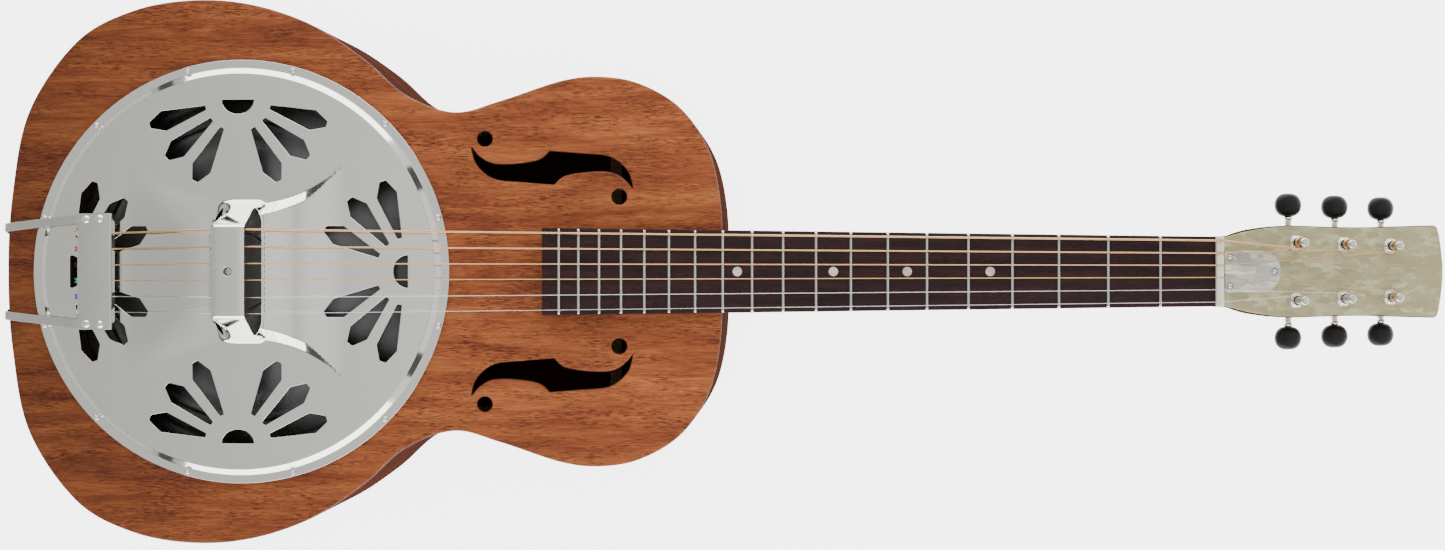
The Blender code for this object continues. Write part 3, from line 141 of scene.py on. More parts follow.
def inside(points, loops):
    px, py = points[:, 0], points[:, 1]
    odd = np.zeros(len(points), bool)
    for loop in loops:
        for (x1, y1), (x2, y2) in zip(loop, loop[1:] + loop[:1]):
            if y1 == y2:
                continue
            crosses = (y1 > py) != (y2 > py)
            odd ^= crosses & (px < x1 + (py - y1) / (y2 - y1) * (x2 - x1))
    return odd


def skin(rows, ring=True, closed=False, caps=(True, True)):
    """Skin over rows of points with equal counts.

    Ring joins each row's ends, and closed joins the last row to the first."""
    count = len(rows[0])
    verts = [Vector(point) for row in rows for point in row]
    faces = []
    pairs = [(k, k + 1) for k in range(len(rows) - 1)] + ([(len(rows) - 1, 0)] if closed else [])
    for low, high in pairs:
        for i in range(count if ring else count - 1):
            j = (i + 1) % count
            faces.append((low * count + i, low * count + j, high * count + j, high * count + i))
    if not closed and ring:
        if caps[0]:
            faces.append(tuple(range(count))[::-1])
        if caps[1]:
            faces.append(tuple(range((len(rows) - 1) * count, len(rows) * count)))
    return verts, faces, None


def turned(profile, segments, caps=(True, True)):
    """Solid of revolution about Z from (radius, z) points, bottom to top."""
    return skin([[(x, y, z) for x, y in circle(radius, segments)] for radius, z in profile], caps=caps)


def rounded(profile, radius, steps=3):
    """An open or closed run of points with its corners rounded."""
    result = [Vector(profile[0])]
    for before, corner, after in zip(profile, profile[1:], profile[2:]):
        corner = Vector(corner)
        a = (Vector(before) - corner)
        b = (Vector(after) - corner)
        reach = min(radius, a.length * 0.45, b.length * 0.45)
        start = corner + a.normalized() * reach
        end = corner + b.normalized() * reach
        for i in range(steps + 1):
            t = i / steps
            result.append(start * (1 - t) ** 2 + corner * 2 * t * (1 - t) + end * t * t)
    result.append(Vector(profile[-1]))
    return [tuple(point) for point in result]


def rounded_loop(loop, radius, steps=3):
    closed = [loop[-1], *loop, loop[0]]
    return rounded(closed, radius, steps)[1:-1]


def join(*shapes):
    verts, faces = [], []
    for part_verts, part_faces, _ in shapes:
        start = len(verts)
        verts += part_verts
        faces += [tuple(start + i for i in face) for face in part_faces]
    return verts, faces, None


def moved(shape, matrix):
    verts, faces, normals = shape
    turn = matrix.to_3x3()
    return ([matrix @ Vector(vert) for vert in verts], faces,
            None if normals is None else [turn @ Vector(normal) for normal in normals])


def shifted(shape, x, y, z):
    return moved(shape, Matrix.Translation((x, y, z)))


def slab(outline, low, high, edge, steps=3):
    """A plate with a convex outline and rounded upper and lower edges."""
    outline = turned_to(outline, 1)
    rows = []
    for i in range(steps + 1):
        angle = math.pi / 2 * i / steps
        loop = offset(outline, edge * (1 - math.sin(angle)))
        rows.append([(x, y, low + edge * (1 - math.cos(angle))) for x, y in loop])
    for i in range(steps + 1):
        angle = math.pi / 2 * i / steps
        loop = offset(outline, edge * (1 - math.cos(angle)))
        rows.append([(x, y, high - edge * (1 - math.sin(angle))) for x, y in loop])
    return skin(rows)


def sheet(outline, holes, inner, height, thickness, edge, spacing, bottom=None):
    """A sheet with rounded edges round its outline and holes, under a height function of x and y.

    Its normals come from the height function, so reflections run smoothly over the triangles."""
    loops = [turned_to(densify(outline, spacing), 1)]
    loops += [turned_to(densify(hole, spacing), -1) for hole in holes]
    inset = [offset(loop, edge) for loop in loops]
    tree_points = [point for loop in inset for point in loop]
    tree = kdtree.KDTree(len(tree_points))
    for i, (x, y) in enumerate(tree_points):
        tree.insert((x, y, 0.0), i)
    tree.balance()
    kept = []
    if len(inner):
        inner = np.array(inner)
        inner = inner[inside(inner, inset)]
        kept = [(x, y) for x, y in inner.tolist() if tree.find((x, y, 0.0))[2] > spacing * 0.45]
    points = tree_points + kept
    edges = []
    start = 0
    for loop in inset:
        edges += [(start + i, start + (i + 1) % len(loop)) for i in range(len(loop))]
        start += len(loop)
    made = geometry.delaunay_2d_cdt([Vector(point) for point in points], edges, [], 0, 1e-7, True)
    coords, triangles, sources = made[0], made[2], made[3]
    place = {source: i for i, found in enumerate(sources) for source in found}
    centres = np.array([[sum(coords[i][k] for i in face) / 3 for k in (0, 1)] for face in triangles])
    triangles = [face for face, keep in zip(triangles, inside(centres, inset)) if keep]

    def normal(x, y):
        step = 0.00005
        return Vector(((height(x - step, y) - height(x + step, y)) / (2 * step),
                       (height(x, y - step) - height(x, y + step)) / (2 * step), 1.0)).normalized()

    def under(x, y):
        return height(x, y) - thickness if bottom is None else bottom

    count = len(coords)
    verts = [Vector((x, y, height(x, y))) for x, y in coords]
    verts += [Vector((x, y, under(x, y))) for x, y in coords]
    normals = [normal(x, y) for x, y in coords]
    normals += [-n if bottom is None else Vector((0, 0, -1)) for n in normals]
    faces = []
    for face in triangles:
        (x1, y1), (x2, y2), (x3, y3) = [coords[i] for i in face]
        if (x2 - x1) * (y3 - y1) - (x3 - x1) * (y2 - y1) < 0:
            face = face[::-1]
        faces.append(tuple(face))
        faces.append(tuple(count + i for i in face[::-1]))
    start = 0
    steps = 3
    for loop, shrunk in zip(loops, inset):
        size = len(loop)
        top_row = [place[start + i] for i in range(size)]
        bottom_row = [count + i for i in top_row]
        rows = [top_row]
        for level in range(2 * steps):
            upper = level < steps
            angle = math.pi / 2 * ((level + 1) / steps if upper else (2 * steps - level - 1) / steps)
            first = len(verts)
            for (x, y), (ix, iy) in zip(loop, shrunk):
                out = Vector((x - ix, y - iy, 0.0)).normalized()
                share = math.sin(angle)
                px, py = ix + (x - ix) * share, iy + (y - iy) * share
                face_normal = normal(ix, iy)
                drop = edge * (1 - math.cos(angle))
                if upper:
                    z = height(ix, iy) - drop
                else:
                    z = under(ix, iy) + drop
                    face_normal = -face_normal if bottom is None else Vector((0, 0, -1))
                verts.append(Vector((px, py, z)))
                normals.append((face_normal * math.cos(angle) + out * share).normalized())
            rows.append(list(range(first, first + size)))
        rows.append(bottom_row)
        for high, low in zip(rows, rows[1:]):
            for i in range(size):
                j = (i + 1) % size
                faces.append((high[i], low[i], low[j], high[j]))
        start += size
    return verts, faces, normals


def tube(path, radii, segments):
    """A tube along a path, with parallel-transported sections."""
    path = [Vector(point) for point in path]
    if isinstance(radii, (int, float)):
        radii = [radii] * len(path)
    rows = []
    side = None
    for i, point in enumerate(path):
        along = (path[min(i + 1, len(path) - 1)] - path[max(i - 1, 0)]).normalized()
        if side is None:
            side = along.orthogonal().normalized()
        side = (side - along * side.dot(along)).normalized()
        other = along.cross(side)
        rows.append([point + (side * math.cos(a) + other * math.sin(a)) * radii[i]
                     for a in [2 * math.pi * k / segments for k in range(segments)]])
    return skin(rows)


def placed(name, data):
    obj = bpy.data.objects.new(name, data)
    bpy.context.scene.collection.objects.link(obj)
    return obj


def piece(name, shape, material, body="root", replaces=(), sharp=40.0):
    """A mesh object from a shape, riding on a body."""
    verts, faces, normals = shape
    mesh = bpy.data.meshes.new(name)
    mesh.from_pydata([tuple(vert) for vert in verts], [], faces)
    mesh.validate()
    mesh.update()
    for polygon in mesh.polygons:
        polygon.use_smooth = True
    mesh.materials.append(material)
    obj = placed(name, mesh)
    if normals is not None:
        mesh.normals_split_custom_set_from_vertices([tuple(normal) for normal in normals])
    else:
        mesh.set_sharp_from_angle(angle=math.radians(sharp))
    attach(obj, body)
    if replaces:
        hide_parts(*replaces)
    return obj


# Materials


class Nodes:
    """Short names for the nodes of one material."""

    def __init__(self, name, roughness=0.5, metallic=0.0, **sockets):
        self.material = bpy.data.materials.new(name)
        self.material.use_nodes = True
        self.tree = self.material.node_tree
        self.shader = self.tree.nodes["Principled BSDF"]
        self.shader.inputs["Roughness"].default_value = roughness
        self.shader.inputs["Metallic"].default_value = metallic
        for socket, value in sockets.items():
            self.shader.inputs[socket.replace("_", " ")].default_value = value
        self.coords = self.tree.nodes.new("ShaderNodeTexCoord").outputs["Object"]

    def link(self, value, socket):
        if isinstance(value, bpy.types.NodeSocket):
            self.tree.links.new(value, socket)
        elif hasattr(value, "__len__") and len(value) == 3 and len(socket.default_value) == 4:
            socket.default_value = (*value, 1.0)
        else:
            socket.default_value = value

    def scaled(self, x, y, z, turn=(0.0, 0.0, 0.0), move=(0.0, 0.0, 0.0)):
        """Object coordinates divided by the feature size in metres on each axis."""
        node = self.tree.nodes.new("ShaderNodeMapping")
        node.inputs["Location"].default_value = move
        node.inputs["Rotation"].default_value = turn
        node.inputs["Scale"].default_value = (1 / x, 1 / y, 1 / z)
        self.tree.links.new(self.coords, node.inputs["Vector"])
        return node.outputs["Vector"]

    def noise(self, vector, detail=2.0, rough=0.5, distortion=0.0):
        node = self.tree.nodes.new("ShaderNodeTexNoise")
        self.tree.links.new(vector, node.inputs["Vector"])
        node.inputs["Scale"].default_value = 1.0
        node.inputs["Detail"].default_value = detail
        node.inputs["Roughness"].default_value = rough
        node.inputs["Distortion"].default_value = distortion
        return node.outputs["Fac"]

    def voronoi(self, vector):
        node = self.tree.nodes.new("ShaderNodeTexVoronoi")
        self.tree.links.new(vector, node.inputs["Vector"])
        node.inputs["Scale"].default_value = 1.0
        return node.outputs["Color"]

    def ramp(self, factor, stops):
        node = self.tree.nodes.new("ShaderNodeValToRGB")
        elements = node.color_ramp.elements
        while len(elements) < len(stops):
            elements.new(0.5)
        for element, (place, colour) in zip(elements, stops):
            element.position = place
            colour = (colour,) * 3 if isinstance(colour, (int, float)) else colour
            element.color = (*colour, 1.0)
        self.tree.links.new(factor, node.inputs["Fac"])
        return node.outputs["Color"]

    def mix(self, factor, a, b, blend="MIX"):
        node = self.tree.nodes.new("ShaderNodeMix")
        node.data_type = "RGBA"
        node.blend_type = blend
        self.link(factor, node.inputs[0])
        self.link(a, node.inputs[6])
        self.link(b, node.inputs[7])
        return node.outputs[2]

    def math(self, operation, a, b=0.0):
        node = self.tree.nodes.new("ShaderNodeMath")
        node.operation = operation
        self.link(a, node.inputs[0])
        self.link(b, node.inputs[1])
        return node.outputs[0]

    def along(self, start, end, stops):
        """Grey levels from one X to another."""
        split = self.tree.nodes.new("ShaderNodeSeparateXYZ")
        self.tree.links.new(self.coords, split.inputs[0])
        share = self.math("DIVIDE", self.math("SUBTRACT", split.outputs["X"], start), end - start)
        return self.ramp(share, stops)

    def upward(self):
        """How far the surface faces up or down, from 0 to 1."""
        split = self.tree.nodes.new("ShaderNodeSeparateXYZ")
        self.tree.links.new(self.tree.nodes.new("ShaderNodeNewGeometry").outputs["Normal"], split.inputs[0])
        return self.math("ABSOLUTE", split.outputs["Z"])

    def colour(self, value):
        self.link(value, self.shader.inputs["Base Color"])

    def roughness(self, factor, low, high):
        node = self.tree.nodes.new("ShaderNodeMapRange")
        node.inputs["To Min"].default_value = low
        node.inputs["To Max"].default_value = high
        self.tree.links.new(factor, node.inputs["Value"])
        self.tree.links.new(node.outputs["Result"], self.shader.inputs["Roughness"])

    def bump(self, height, distance, strength=1.0):
        node = self.tree.nodes.new("ShaderNodeBump")
        node.inputs["Distance"].default_value = distance
        node.inputs["Strength"].default_value = strength
        self.tree.links.new(height, node.inputs["Height"])
        self.tree.links.new(node.outputs["Normal"], self.shader.inputs["Normal"])


def wood(name, dark, mid, light, pore, roughness=0.4, width=0.0045, pore_amount=0.75, specular=0.3,
         bent=False, painted_shade_and_edge_stain=None):
    """Straight-grained wood: broad figure, finer streaks, and short dark pores.

    The grain runs along X, or when the board is bent, along every level line. With the gradient given, the colour
    is darkened towards the tail as painted shade, where less light falls, and darker on the board's edges, where
    end grain drinks more of the finish."""
    m = Nodes(name, roughness, Specular_IOR_Level=specular)
    figure = m.noise(m.scaled(0.11, 0.11 if bent else width * 2.4, width * 2.4), 3.0, 0.55, 0.6)
    streak = m.noise(m.scaled(0.017, 0.017 if bent else width * 0.27, width * 0.27), 4.0, 0.62, 0.3)
    blend = m.mix(0.45, figure, streak)
    base = m.ramp(blend, [(0.34, dark), (0.50, mid), (0.65, light)])
    pores = m.noise(m.scaled(0.0052, 0.0052 if bent else 0.00062, 0.00062), 3.0, 0.65, 0.2)
    pore_mask = m.ramp(pores, [(0.47, 0.0), (0.60, pore_amount)])
    patches = m.noise(m.scaled(0.034, 0.034 if bent else 0.011, 0.011), 3.0, 0.6, 0.4)
    mask = m.mix(1.0, pore_mask, m.ramp(patches, [(0.36, 0.15), (0.62, 1.0)]), "MULTIPLY")
    colour = m.mix(mask, base, pore)
    if painted_shade_and_edge_stain:
        # painted shade: the colour darkens towards the tail along X
        colour = m.mix(1.0, colour, m.along(*painted_shade_and_edge_stain), "MULTIPLY")
        colour = m.mix(1.0, colour, m.ramp(m.upward(), [(0.5, 0.30), (0.97, 1.0)]), "MULTIPLY")
    m.colour(colour)
    m.roughness(streak, roughness - 0.06, roughness + 0.1)
    m.bump(m.mix(0.5, pores, streak), 0.00004, 0.35)
    return m.material


def metal(name, colour, roughness, spread=0.05):
    """Polished metal with slight cloudiness and faint wiping marks."""
    tarnish = 0.04
    m = Nodes(name, roughness, 1.0)
    cloud = m.noise(m.scaled(0.03, 0.03, 0.03), 3.0, 0.55, 0.3)
    speck = m.noise(m.scaled(0.0018, 0.0018, 0.0018), 3.0, 0.6, 0.0)
    darker = tuple(value * (1 - tarnish) for value in colour)
    m.colour(m.mix(cloud, darker, colour))
    m.roughness(m.mix(0.35, cloud, speck), max(roughness - spread, 0.02), roughness + spread)
    return m.material


def pearloid(name, dark, mid, light, size=0.010):
    """Cellulose pearl: long overlapping flakes, each of its own shade, in two directions."""
    m = Nodes(name, 0.22, Coat_Weight=0.15, Coat_Roughness=0.08, Specular_IOR_Level=0.35)
    shades = []
    for turn, stretch in ((0.5, 1.0), (-0.8, 0.8)):
        bent = m.noise(m.scaled(size, size, size), 1.0, 0.4)
        node = m.tree.nodes.new("ShaderNodeVectorMath")
        node.operation = "ADD"
        m.tree.links.new(m.scaled(size * stretch, size * stretch * 0.36, size * 6, (0.0, 0.0, turn)),
                         node.inputs[0])
        m.tree.links.new(bent, node.inputs[1])
        split = m.tree.nodes.new("ShaderNodeSeparateColor")
        m.tree.links.new(m.voronoi(node.outputs[0]), split.inputs[0])
        shades.append(split.outputs[0])
    cloud = m.noise(m.scaled(size * 2, size * 2, size * 2), 2.0, 0.5, 0.5)
    swirl = m.mix(0.3, m.mix(1.0, shades[0], shades[1], "MULTIPLY"), cloud)
    m.colour(m.ramp(swirl, [(0.08, dark), (0.30, mid), (0.70, light)]))
    m.roughness(shades[1], 0.16, 0.30)
    m.bump(swirl, 0.00002, 0.2)
    return m.material


def plain(name, dark, light, roughness, size=0.004, bump=0.00003, metallic=0.0, **sockets):
    """Painted, moulded or turned surface with mottling at its own scale."""
    m = Nodes(name, roughness, metallic, **sockets)
    cloud = m.noise(m.scaled(size, size, size), 4.0, 0.6, 0.2)
    m.colour(m.mix(cloud, dark, light))
    m.roughness(cloud, roughness - 0.05, roughness + 0.07)
    m.bump(cloud, bump, 0.35)
    return m.material


def rings(name, colour, roughness, pitch, depth, centre=(0.0, 0.0), metallic=1.0):
    """Metal or wood with fine turned rings about a vertical axis."""
    m = Nodes(name, roughness, metallic)
    place = m.scaled(1.0, 1.0, 1.0, move=(-centre[0], -centre[1], 0.0))
    flat = m.tree.nodes.new("ShaderNodeVectorMath")
    flat.operation = "MULTIPLY"
    m.tree.links.new(place, flat.inputs[0])
    flat.inputs[1].default_value = (1.0, 1.0, 0.0)
    reach = m.tree.nodes.new("ShaderNodeVectorMath")
    reach.operation = "LENGTH"
    m.tree.links.new(flat.outputs[0], reach.inputs[0])
    radius = reach.outputs["Value"]
    fine = m.math("SINE", m.math("MULTIPLY", radius, 2 * math.pi / pitch))
    combined = m.tree.nodes.new("ShaderNodeCombineXYZ")
    m.tree.links.new(m.math("MULTIPLY", radius, 1 / (pitch * 1.7)), combined.inputs[0])
    uneven = m.noise(combined.outputs[0], 3.0, 0.7)
    marks = m.mix(0.6, fine, uneven)
    m.colour(m.mix(uneven, tuple(value * 0.82 for value in colour), colour))
    m.roughness(uneven, roughness - 0.06, roughness + 0.08)
    m.bump(marks, depth, 0.6)
    return m.material


def make_materials():
    mats = {
        # The top's ramp along X is painted shade towards the tail; its darker edges are end grain taking more
        # finish.
        "top": wood("mahogany_top_finish", (0.150, 0.036, 0.015), (0.300, 0.082, 0.027), (0.450, 0.145, 0.044),
                    (0.060, 0.013, 0.009), 0.45, pore_amount=0.9, specular=0.15,
                    painted_shade_and_edge_stain=(-0.16, 0.30, [(0.0, 0.44), (0.15, 0.60), (0.35, 0.76), (0.6, 0.90), (0.95, 1.0)])),
        "rim": wood("mahogany_rim_finish", (0.028, 0.010, 0.007), (0.047, 0.016, 0.011), (0.068, 0.024, 0.015),
                    (0.014, 0.006, 0.005), 0.6, specular=0.0, bent=True),
        "side": wood("mahogany_side_finish", (0.045, 0.012, 0.006), (0.075, 0.020, 0.009), (0.110, 0.032, 0.012),
                     (0.022, 0.006, 0.004), 0.6, specular=0.0),
        # The soundwell's wood is kept far darker than the other inner wood: painted shade of the cavity under the
        # cover.
        "well": wood("soundwell_shade_darkened_finish", (0.030, 0.018, 0.010), (0.050, 0.030, 0.017), (0.070, 0.044, 0.026),
                     (0.015, 0.009, 0.006), 0.7, specular=0.1),
        "inner": wood("inner_wood_finish", (0.20, 0.11, 0.055), (0.27, 0.16, 0.08), (0.34, 0.21, 0.11),
                      (0.14, 0.07, 0.03), 0.7, pore_amount=0.3),
        "rosewood": wood("rosewood_finish", (0.012, 0.0045, 0.005), (0.023, 0.008, 0.009), (0.041, 0.014, 0.0135),
                         (0.005, 0.0025, 0.0025), 0.5, width=0.0028, specular=0.2),
        "maple": wood("maple_finish", (0.45, 0.27, 0.13), (0.55, 0.36, 0.19), (0.62, 0.43, 0.24),
                      (0.40, 0.22, 0.10), 0.45, pore_amount=0.25),
        "ebony": plain("ebonised_finish", (0.020, 0.021, 0.021), (0.042, 0.044, 0.044), 0.42, 0.003),
        "nickel": metal("nickel_finish", (0.79, 0.785, 0.745), 0.07, 0.025),
        "nickel_satin": metal("nickel_satin_finish", (0.655, 0.65, 0.605), 0.20, 0.05),
        "fret": metal("fret_wire_finish", (0.68, 0.67, 0.63), 0.16, 0.05),
        "steel": metal("steel_finish", (0.60, 0.60, 0.59), 0.22, 0.05),
        "bronze": metal("bronze_winding_finish", (0.58, 0.36, 0.175), 0.34, 0.06),
        "brass": metal("brass_finish", (0.72, 0.52, 0.24), 0.22, 0.05),
        # The cone's colour is far darker than bare spun aluminium: painted shade for its place under the cover
        # plate.
        "cone": rings("spun_cone_shade_darkened_finish", (0.17, 0.175, 0.175), 0.34, 0.0007, 0.00008, (COVER_X, 0.0)),
        "bone": plain("bone_finish", (0.60, 0.57, 0.42), (0.74, 0.72, 0.58), 0.32, 0.0025),
        "cream": pearloid("cream_pearl_finish", (0.290, 0.262, 0.135), (0.350, 0.318, 0.170),
                          (0.490, 0.455, 0.285)),
        "white": pearloid("white_pearl_finish", (0.27, 0.28, 0.27), (0.46, 0.46, 0.42), (0.78, 0.76, 0.66),
                          0.013),
        "pink": pearloid("pink_dot_finish", (0.48, 0.37, 0.34), (0.60, 0.47, 0.43), (0.72, 0.60, 0.56),
                         0.004),
        "dot": pearloid("dot_pearl_finish", (0.44, 0.46, 0.38), (0.58, 0.60, 0.50), (0.72, 0.73, 0.63),
                        0.004),
        "button": plain("black_button_finish", (0.006, 0.006, 0.006), (0.011, 0.011, 0.011), 0.32, 0.0012,
                        Specular_IOR_Level=0.2),
    }
    for name, colour in (("red", (0.55, 0.03, 0.04)), ("black", (0.015, 0.015, 0.015)),
                         ("green", (0.02, 0.42, 0.22)), ("purple", (0.12, 0.05, 0.42)),
                         ("silver", (0.62, 0.62, 0.62))):
        mats[name] = metal(f"{name}_ball_finish", colour, 0.35, 0.05)
    return mats


MATS = make_materials()


# Places


def neck_point(along, y, up):
    """Place of a point given by distance from the saddle along the fret tops, Y and height over them."""
    return Vector((along * math.cos(NECK_ANGLE) + up * math.sin(NECK_ANGLE), y,
                   FRET_PLANE_Z - along * math.sin(NECK_ANGLE) + up * math.cos(NECK_ANGLE)))


def head_point(along, y, up):
    start = neck_point(HEAD_START, y, HEAD_DROP)
    return start + Vector((along * math.cos(HEAD_LEAN) + up * math.sin(HEAD_LEAN), 0.0,
                           up * math.cos(HEAD_LEAN) - along * math.sin(HEAD_LEAN)))


NECK_FRAME = Matrix.Translation((0.0, 0.0, FRET_PLANE_Z)) @ Matrix.Rotation(NECK_ANGLE, 4, "Y")
HEAD_FRAME = Matrix.Translation(head_point(0.0, 0.0, 0.0)) @ Matrix.Rotation(HEAD_LEAN, 4, "Y")


def board_half_width(along):
    share = (SCALE_LENGTH - along) / (SCALE_LENGTH - BOARD_END)
    return NUT_HALF_WIDTH + (BOARD_HALF_END - NUT_HALF_WIDTH) * share


def ease(value):
    value = min(max(value, 0.0), 1.0)
    return value * value * (3 - 2 * value)


# Body


def body_outline(steps=10):
    mirrored = (OUTLINE[1][0], -OUTLINE[1][1])
    before_joint = (OUTLINE[-2][0], -OUTLINE[-2][1])
    half = spline([mirrored, *OUTLINE, before_joint], steps)[steps:-steps]
    treble = [(x, -y) for x, y in half]
    return turned_to(treble + [(x, y) for x, y in reversed(half)][1:-1], 1)


def f_hole_outline(steps=8):
    half = spline(F_HOLE_OUTER, steps)[:-1] + spline(F_HOLE_INNER, steps)[:-1]
    whole = half + [(-x, -y) for x, y in half]
    return [(F_HOLE_CENTRE[0] + x, F_HOLE_CENTRE[1] + y) for x, y in whole]


def make_body():
    outline = body_outline()
    holes = [circle(TOP_HOLE_RADIUS, 96, (COVER_X, 0.0))]
    for side in (1, -1):
        holes.append([(x, side * y) for x, y in f_hole_outline()])
        for turn in (1, -1):
            centre = (F_HOLE_CENTRE[0] + turn * F_HOLE_DOT[0],
                      side * (F_HOLE_CENTRE[1] + turn * F_HOLE_DOT[1]))
            holes.append(circle(F_HOLE_DOT_RADIUS, 32, centre))
    board = sheet(outline, holes, [], lambda x, y: TOP_Z, TOP_THICKNESS, 0.0012, 0.004)
    piece("top_board", board, MATS["top"], replaces=["body_top"])
    edge = 0.0012
    rows = []
    for i in range(5):
        angle = math.pi / 2 * i / 4
        loop = offset(outline, edge * (1 - math.sin(angle)))
        rows.append([(x, y, edge * (1 - math.cos(angle))) for x, y in loop])
    rows.append([(x, y, BACK_THICKNESS) for x, y in outline])
    piece("back_board", skin(rows), MATS["side"], replaces=["body_back"])
    inner = offset(outline, SIDE_THICKNESS)
    low, high = BACK_THICKNESS, TOP_Z - TOP_THICKNESS
    rows = [[(x, y, low) for x, y in outline], [(x, y, high) for x, y in outline],
            [(x, y, high) for x, y in inner], [(x, y, low) for x, y in inner]]
    piece("side_wall", skin(rows, closed=True), MATS["rim"], replaces=["body_sides"])


# Cover plate


REST_FOOT = 0.0480
REST_SHOULDER = 0.0275
REST_TOP = 0.0342
REST_CENTRE = 0.0015 - COVER_X
REST_HALF_WIDTH = 0.0107
OPENING = (-0.0145 - COVER_X, 0.0178 - COVER_X)
OPENING_HALF = 0.0425
PILLOW_HEIGHT = 0.0082
CRESCENT_RADIUS = 0.110
CRESCENT_EDGE = 0.0435
CRESCENT_WALL = 0.0086


def trapezoid(t, soft=0.22):
    """Rises from 0 to 1 with a straight middle and soft ends."""
    t = min(max(t, 0.0), 1.0)
    slope = 1 / (1 - soft)
    if t < soft:
        return slope * t * t / (2 * soft)
    if t > 1 - soft:
        return 1 - slope * (1 - t) ** 2 / (2 * soft)
    return slope * (t - soft / 2)


def pillow(x, y):
    """Height added by the raised middle between the two crescents. Its neck side is the steeper one."""
    arc = CRESCENT_EDGE + CRESCENT_RADIUS - math.sqrt(max(CRESCENT_RADIUS ** 2 - x * x, 0.0))
    soften = ease((0.012 - x) / 0.022)
    fall = 1 - 0.5 * ease((abs(x) - 0.015) / 0.026) - 0.5 * ease((abs(x) - 0.041) / 0.030)
    along = fall + (1 - ease((abs(x) - 0.020) / 0.056) - fall) * soften
    wall = min(CRESCENT_WALL, 0.019 * fall) * (1 - soften)
    width = max(wall + 0.030 * soften, 0.0004)
    across = 1 - trapezoid((abs(y) - arc + wall + 0.024 * soften) / width, 0.16 + 0.06 * soften)
    return PILLOW_HEIGHT * across * along


def rest_rise(x, y, ground):
    """Height of the hand rest over the plate round it."""
    reach = abs(x - REST_CENTRE)
    if abs(y) > REST_FOOT or reach > 0.020:
        return 0.0
    share = trapezoid((REST_FOOT - abs(y)) / (REST_FOOT - REST_SHOULDER), 0.14)
    plate = EDGE_HEIGHT + DOME * (1 - (math.hypot(x, y) / STEP_INNER) ** 2)
    whole = plate + (REST_TOP - plate) * share
    flare = ease((abs(y) - 0.027) / 0.013) if x < REST_CENTRE else 0.0
    side = 1 - ease((reach - REST_HALF_WIDTH + 0.0080 * flare) / (0.0070 + 0.0050 * flare))
    edge = min(reach / REST_HALF_WIDTH, 1.0)
    crown = 0.0008 * edge ** 5 * ease((REST_FOOT - abs(y)) / 0.018)
    return max(whole - ground, 0.0) * side - crown * side


def cover_height(x, y):
    """Height of the plate's outer skin over the guitar's top, from the plate's centre."""
    radius = math.hypot(x, y)
    if radius >= STEP_OUTER:
        return FLANGE
    if radius >= STEP_INNER:
        share = (STEP_OUTER - radius) / (STEP_OUTER - STEP_INNER)
        return FLANGE + (EDGE_HEIGHT - FLANGE) * trapezoid(share, 0.12)
    ground = EDGE_HEIGHT + DOME * (1 - (radius / STEP_INNER) ** 2) + pillow(x, y)
    return ground + rest_rise(x, y, ground)


PETAL_ANGLES = (-73, -50, -27, 27, 50, 73)
PETAL = ((0.0226, 0.0014), (0.0522, 0.0068), (0.0617, 0.0020))
FAN_RADIUS = 0.1144


def moon_outline():
    steps = 24
    return [(0.113 - 0.0094 * math.sin(math.pi * i / steps), 0.0107 * math.cos(math.pi * i / steps))
            for i in range(steps + 1)]


def petal_outline(angle):
    side = list(PETAL)
    hexagon = side + [(reach, -half) for reach, half in reversed(side)]
    cos, sin = math.cos(angle), math.sin(angle)
    return [(FAN_RADIUS - (reach * cos - half * sin), reach * sin + half * cos) for reach, half in hexagon]


def fan_outlines():
    outlines = []
    for quarter in range(4):
        cos, sin = round(math.cos(quarter * math.pi / 2)), round(math.sin(quarter * math.pi / 2))
        for outline in [moon_outline()] + [petal_outline(math.radians(angle)) for angle in PETAL_ANGLES]:
            turned_outline = [(cos * x - sin * y, sin * x + cos * y) for x, y in outline]
            outlines.append(rounded_loop(turned_outline, 0.0006, 3))
    return outlines


def rest_openings():
    left, right = OPENING
    inner_left, inner_right = REST_CENTRE - REST_HALF_WIDTH, REST_CENTRE + REST_HALF_WIDTH
    end = OPENING_HALF
    slots = []
    for wall, strip in ((left, inner_left), (right, inner_right)):
        corner = math.copysign(0.0048, strip - wall)
        loop = [(wall, -end + 0.009), (wall + corner * 0.35, -end + 0.004), (strip, -end), (strip, end),
                (wall + corner * 0.35, end - 0.004), (wall, end - 0.009)]
        slots.append(rounded_loop(loop, 0.0035, 5))
    return slots


def cover_points():
    points = []
    count = 360
    for radius in np.arange(0.1278, 0.1362, 0.00035):
        points += circle(radius, count)
    spacing = 0.0021
    rows = int(0.127 / (spacing * 0.866))
    for j in range(-rows, rows + 1):
        y = j * spacing * 0.866
        for i in range(-62, 63):
            x = (i + 0.5 * (j % 2)) * spacing
            if math.hypot(x, y) < 0.1265 and not (abs(x) < 0.066 and 0.026 < abs(y) < 0.066):
                points.append((x, y))
    fine = 0.0011
    for j in range(-62, 63):
        y = j * fine
        if not 0.026 < abs(y) < 0.066:
            continue
        for i in range(-60, 61):
            points.append(((i + 0.5 * (j % 2)) * fine, y))
    return points


def screw_head(radius, rise, depth=0.0006):
    """A round head with a cross recess, about Z, sitting on Z = 0."""
    rows = []
    rings_count = 14
    segments = 48
    for k in range(rings_count):
        reach = radius * (1 - k / rings_count) if k else radius
        share = reach / radius
        row = []
        for x, y in circle(reach, segments):
            z = rise * math.sqrt(max(1 - share ** 2.6, 0.0))
            slot = min(abs(x), abs(y))
            in_cross = ease((radius * 0.2 - slot) / (radius * 0.1))
            in_cross *= ease((radius * 0.62 - reach) / (radius * 0.12))
            row.append((x, y, z - depth * in_cross))
        rows.append(row)
    skirt = [[(x, y, -0.0003) for x, y in circle(radius, segments)]]
    return skin(skirt + rows)


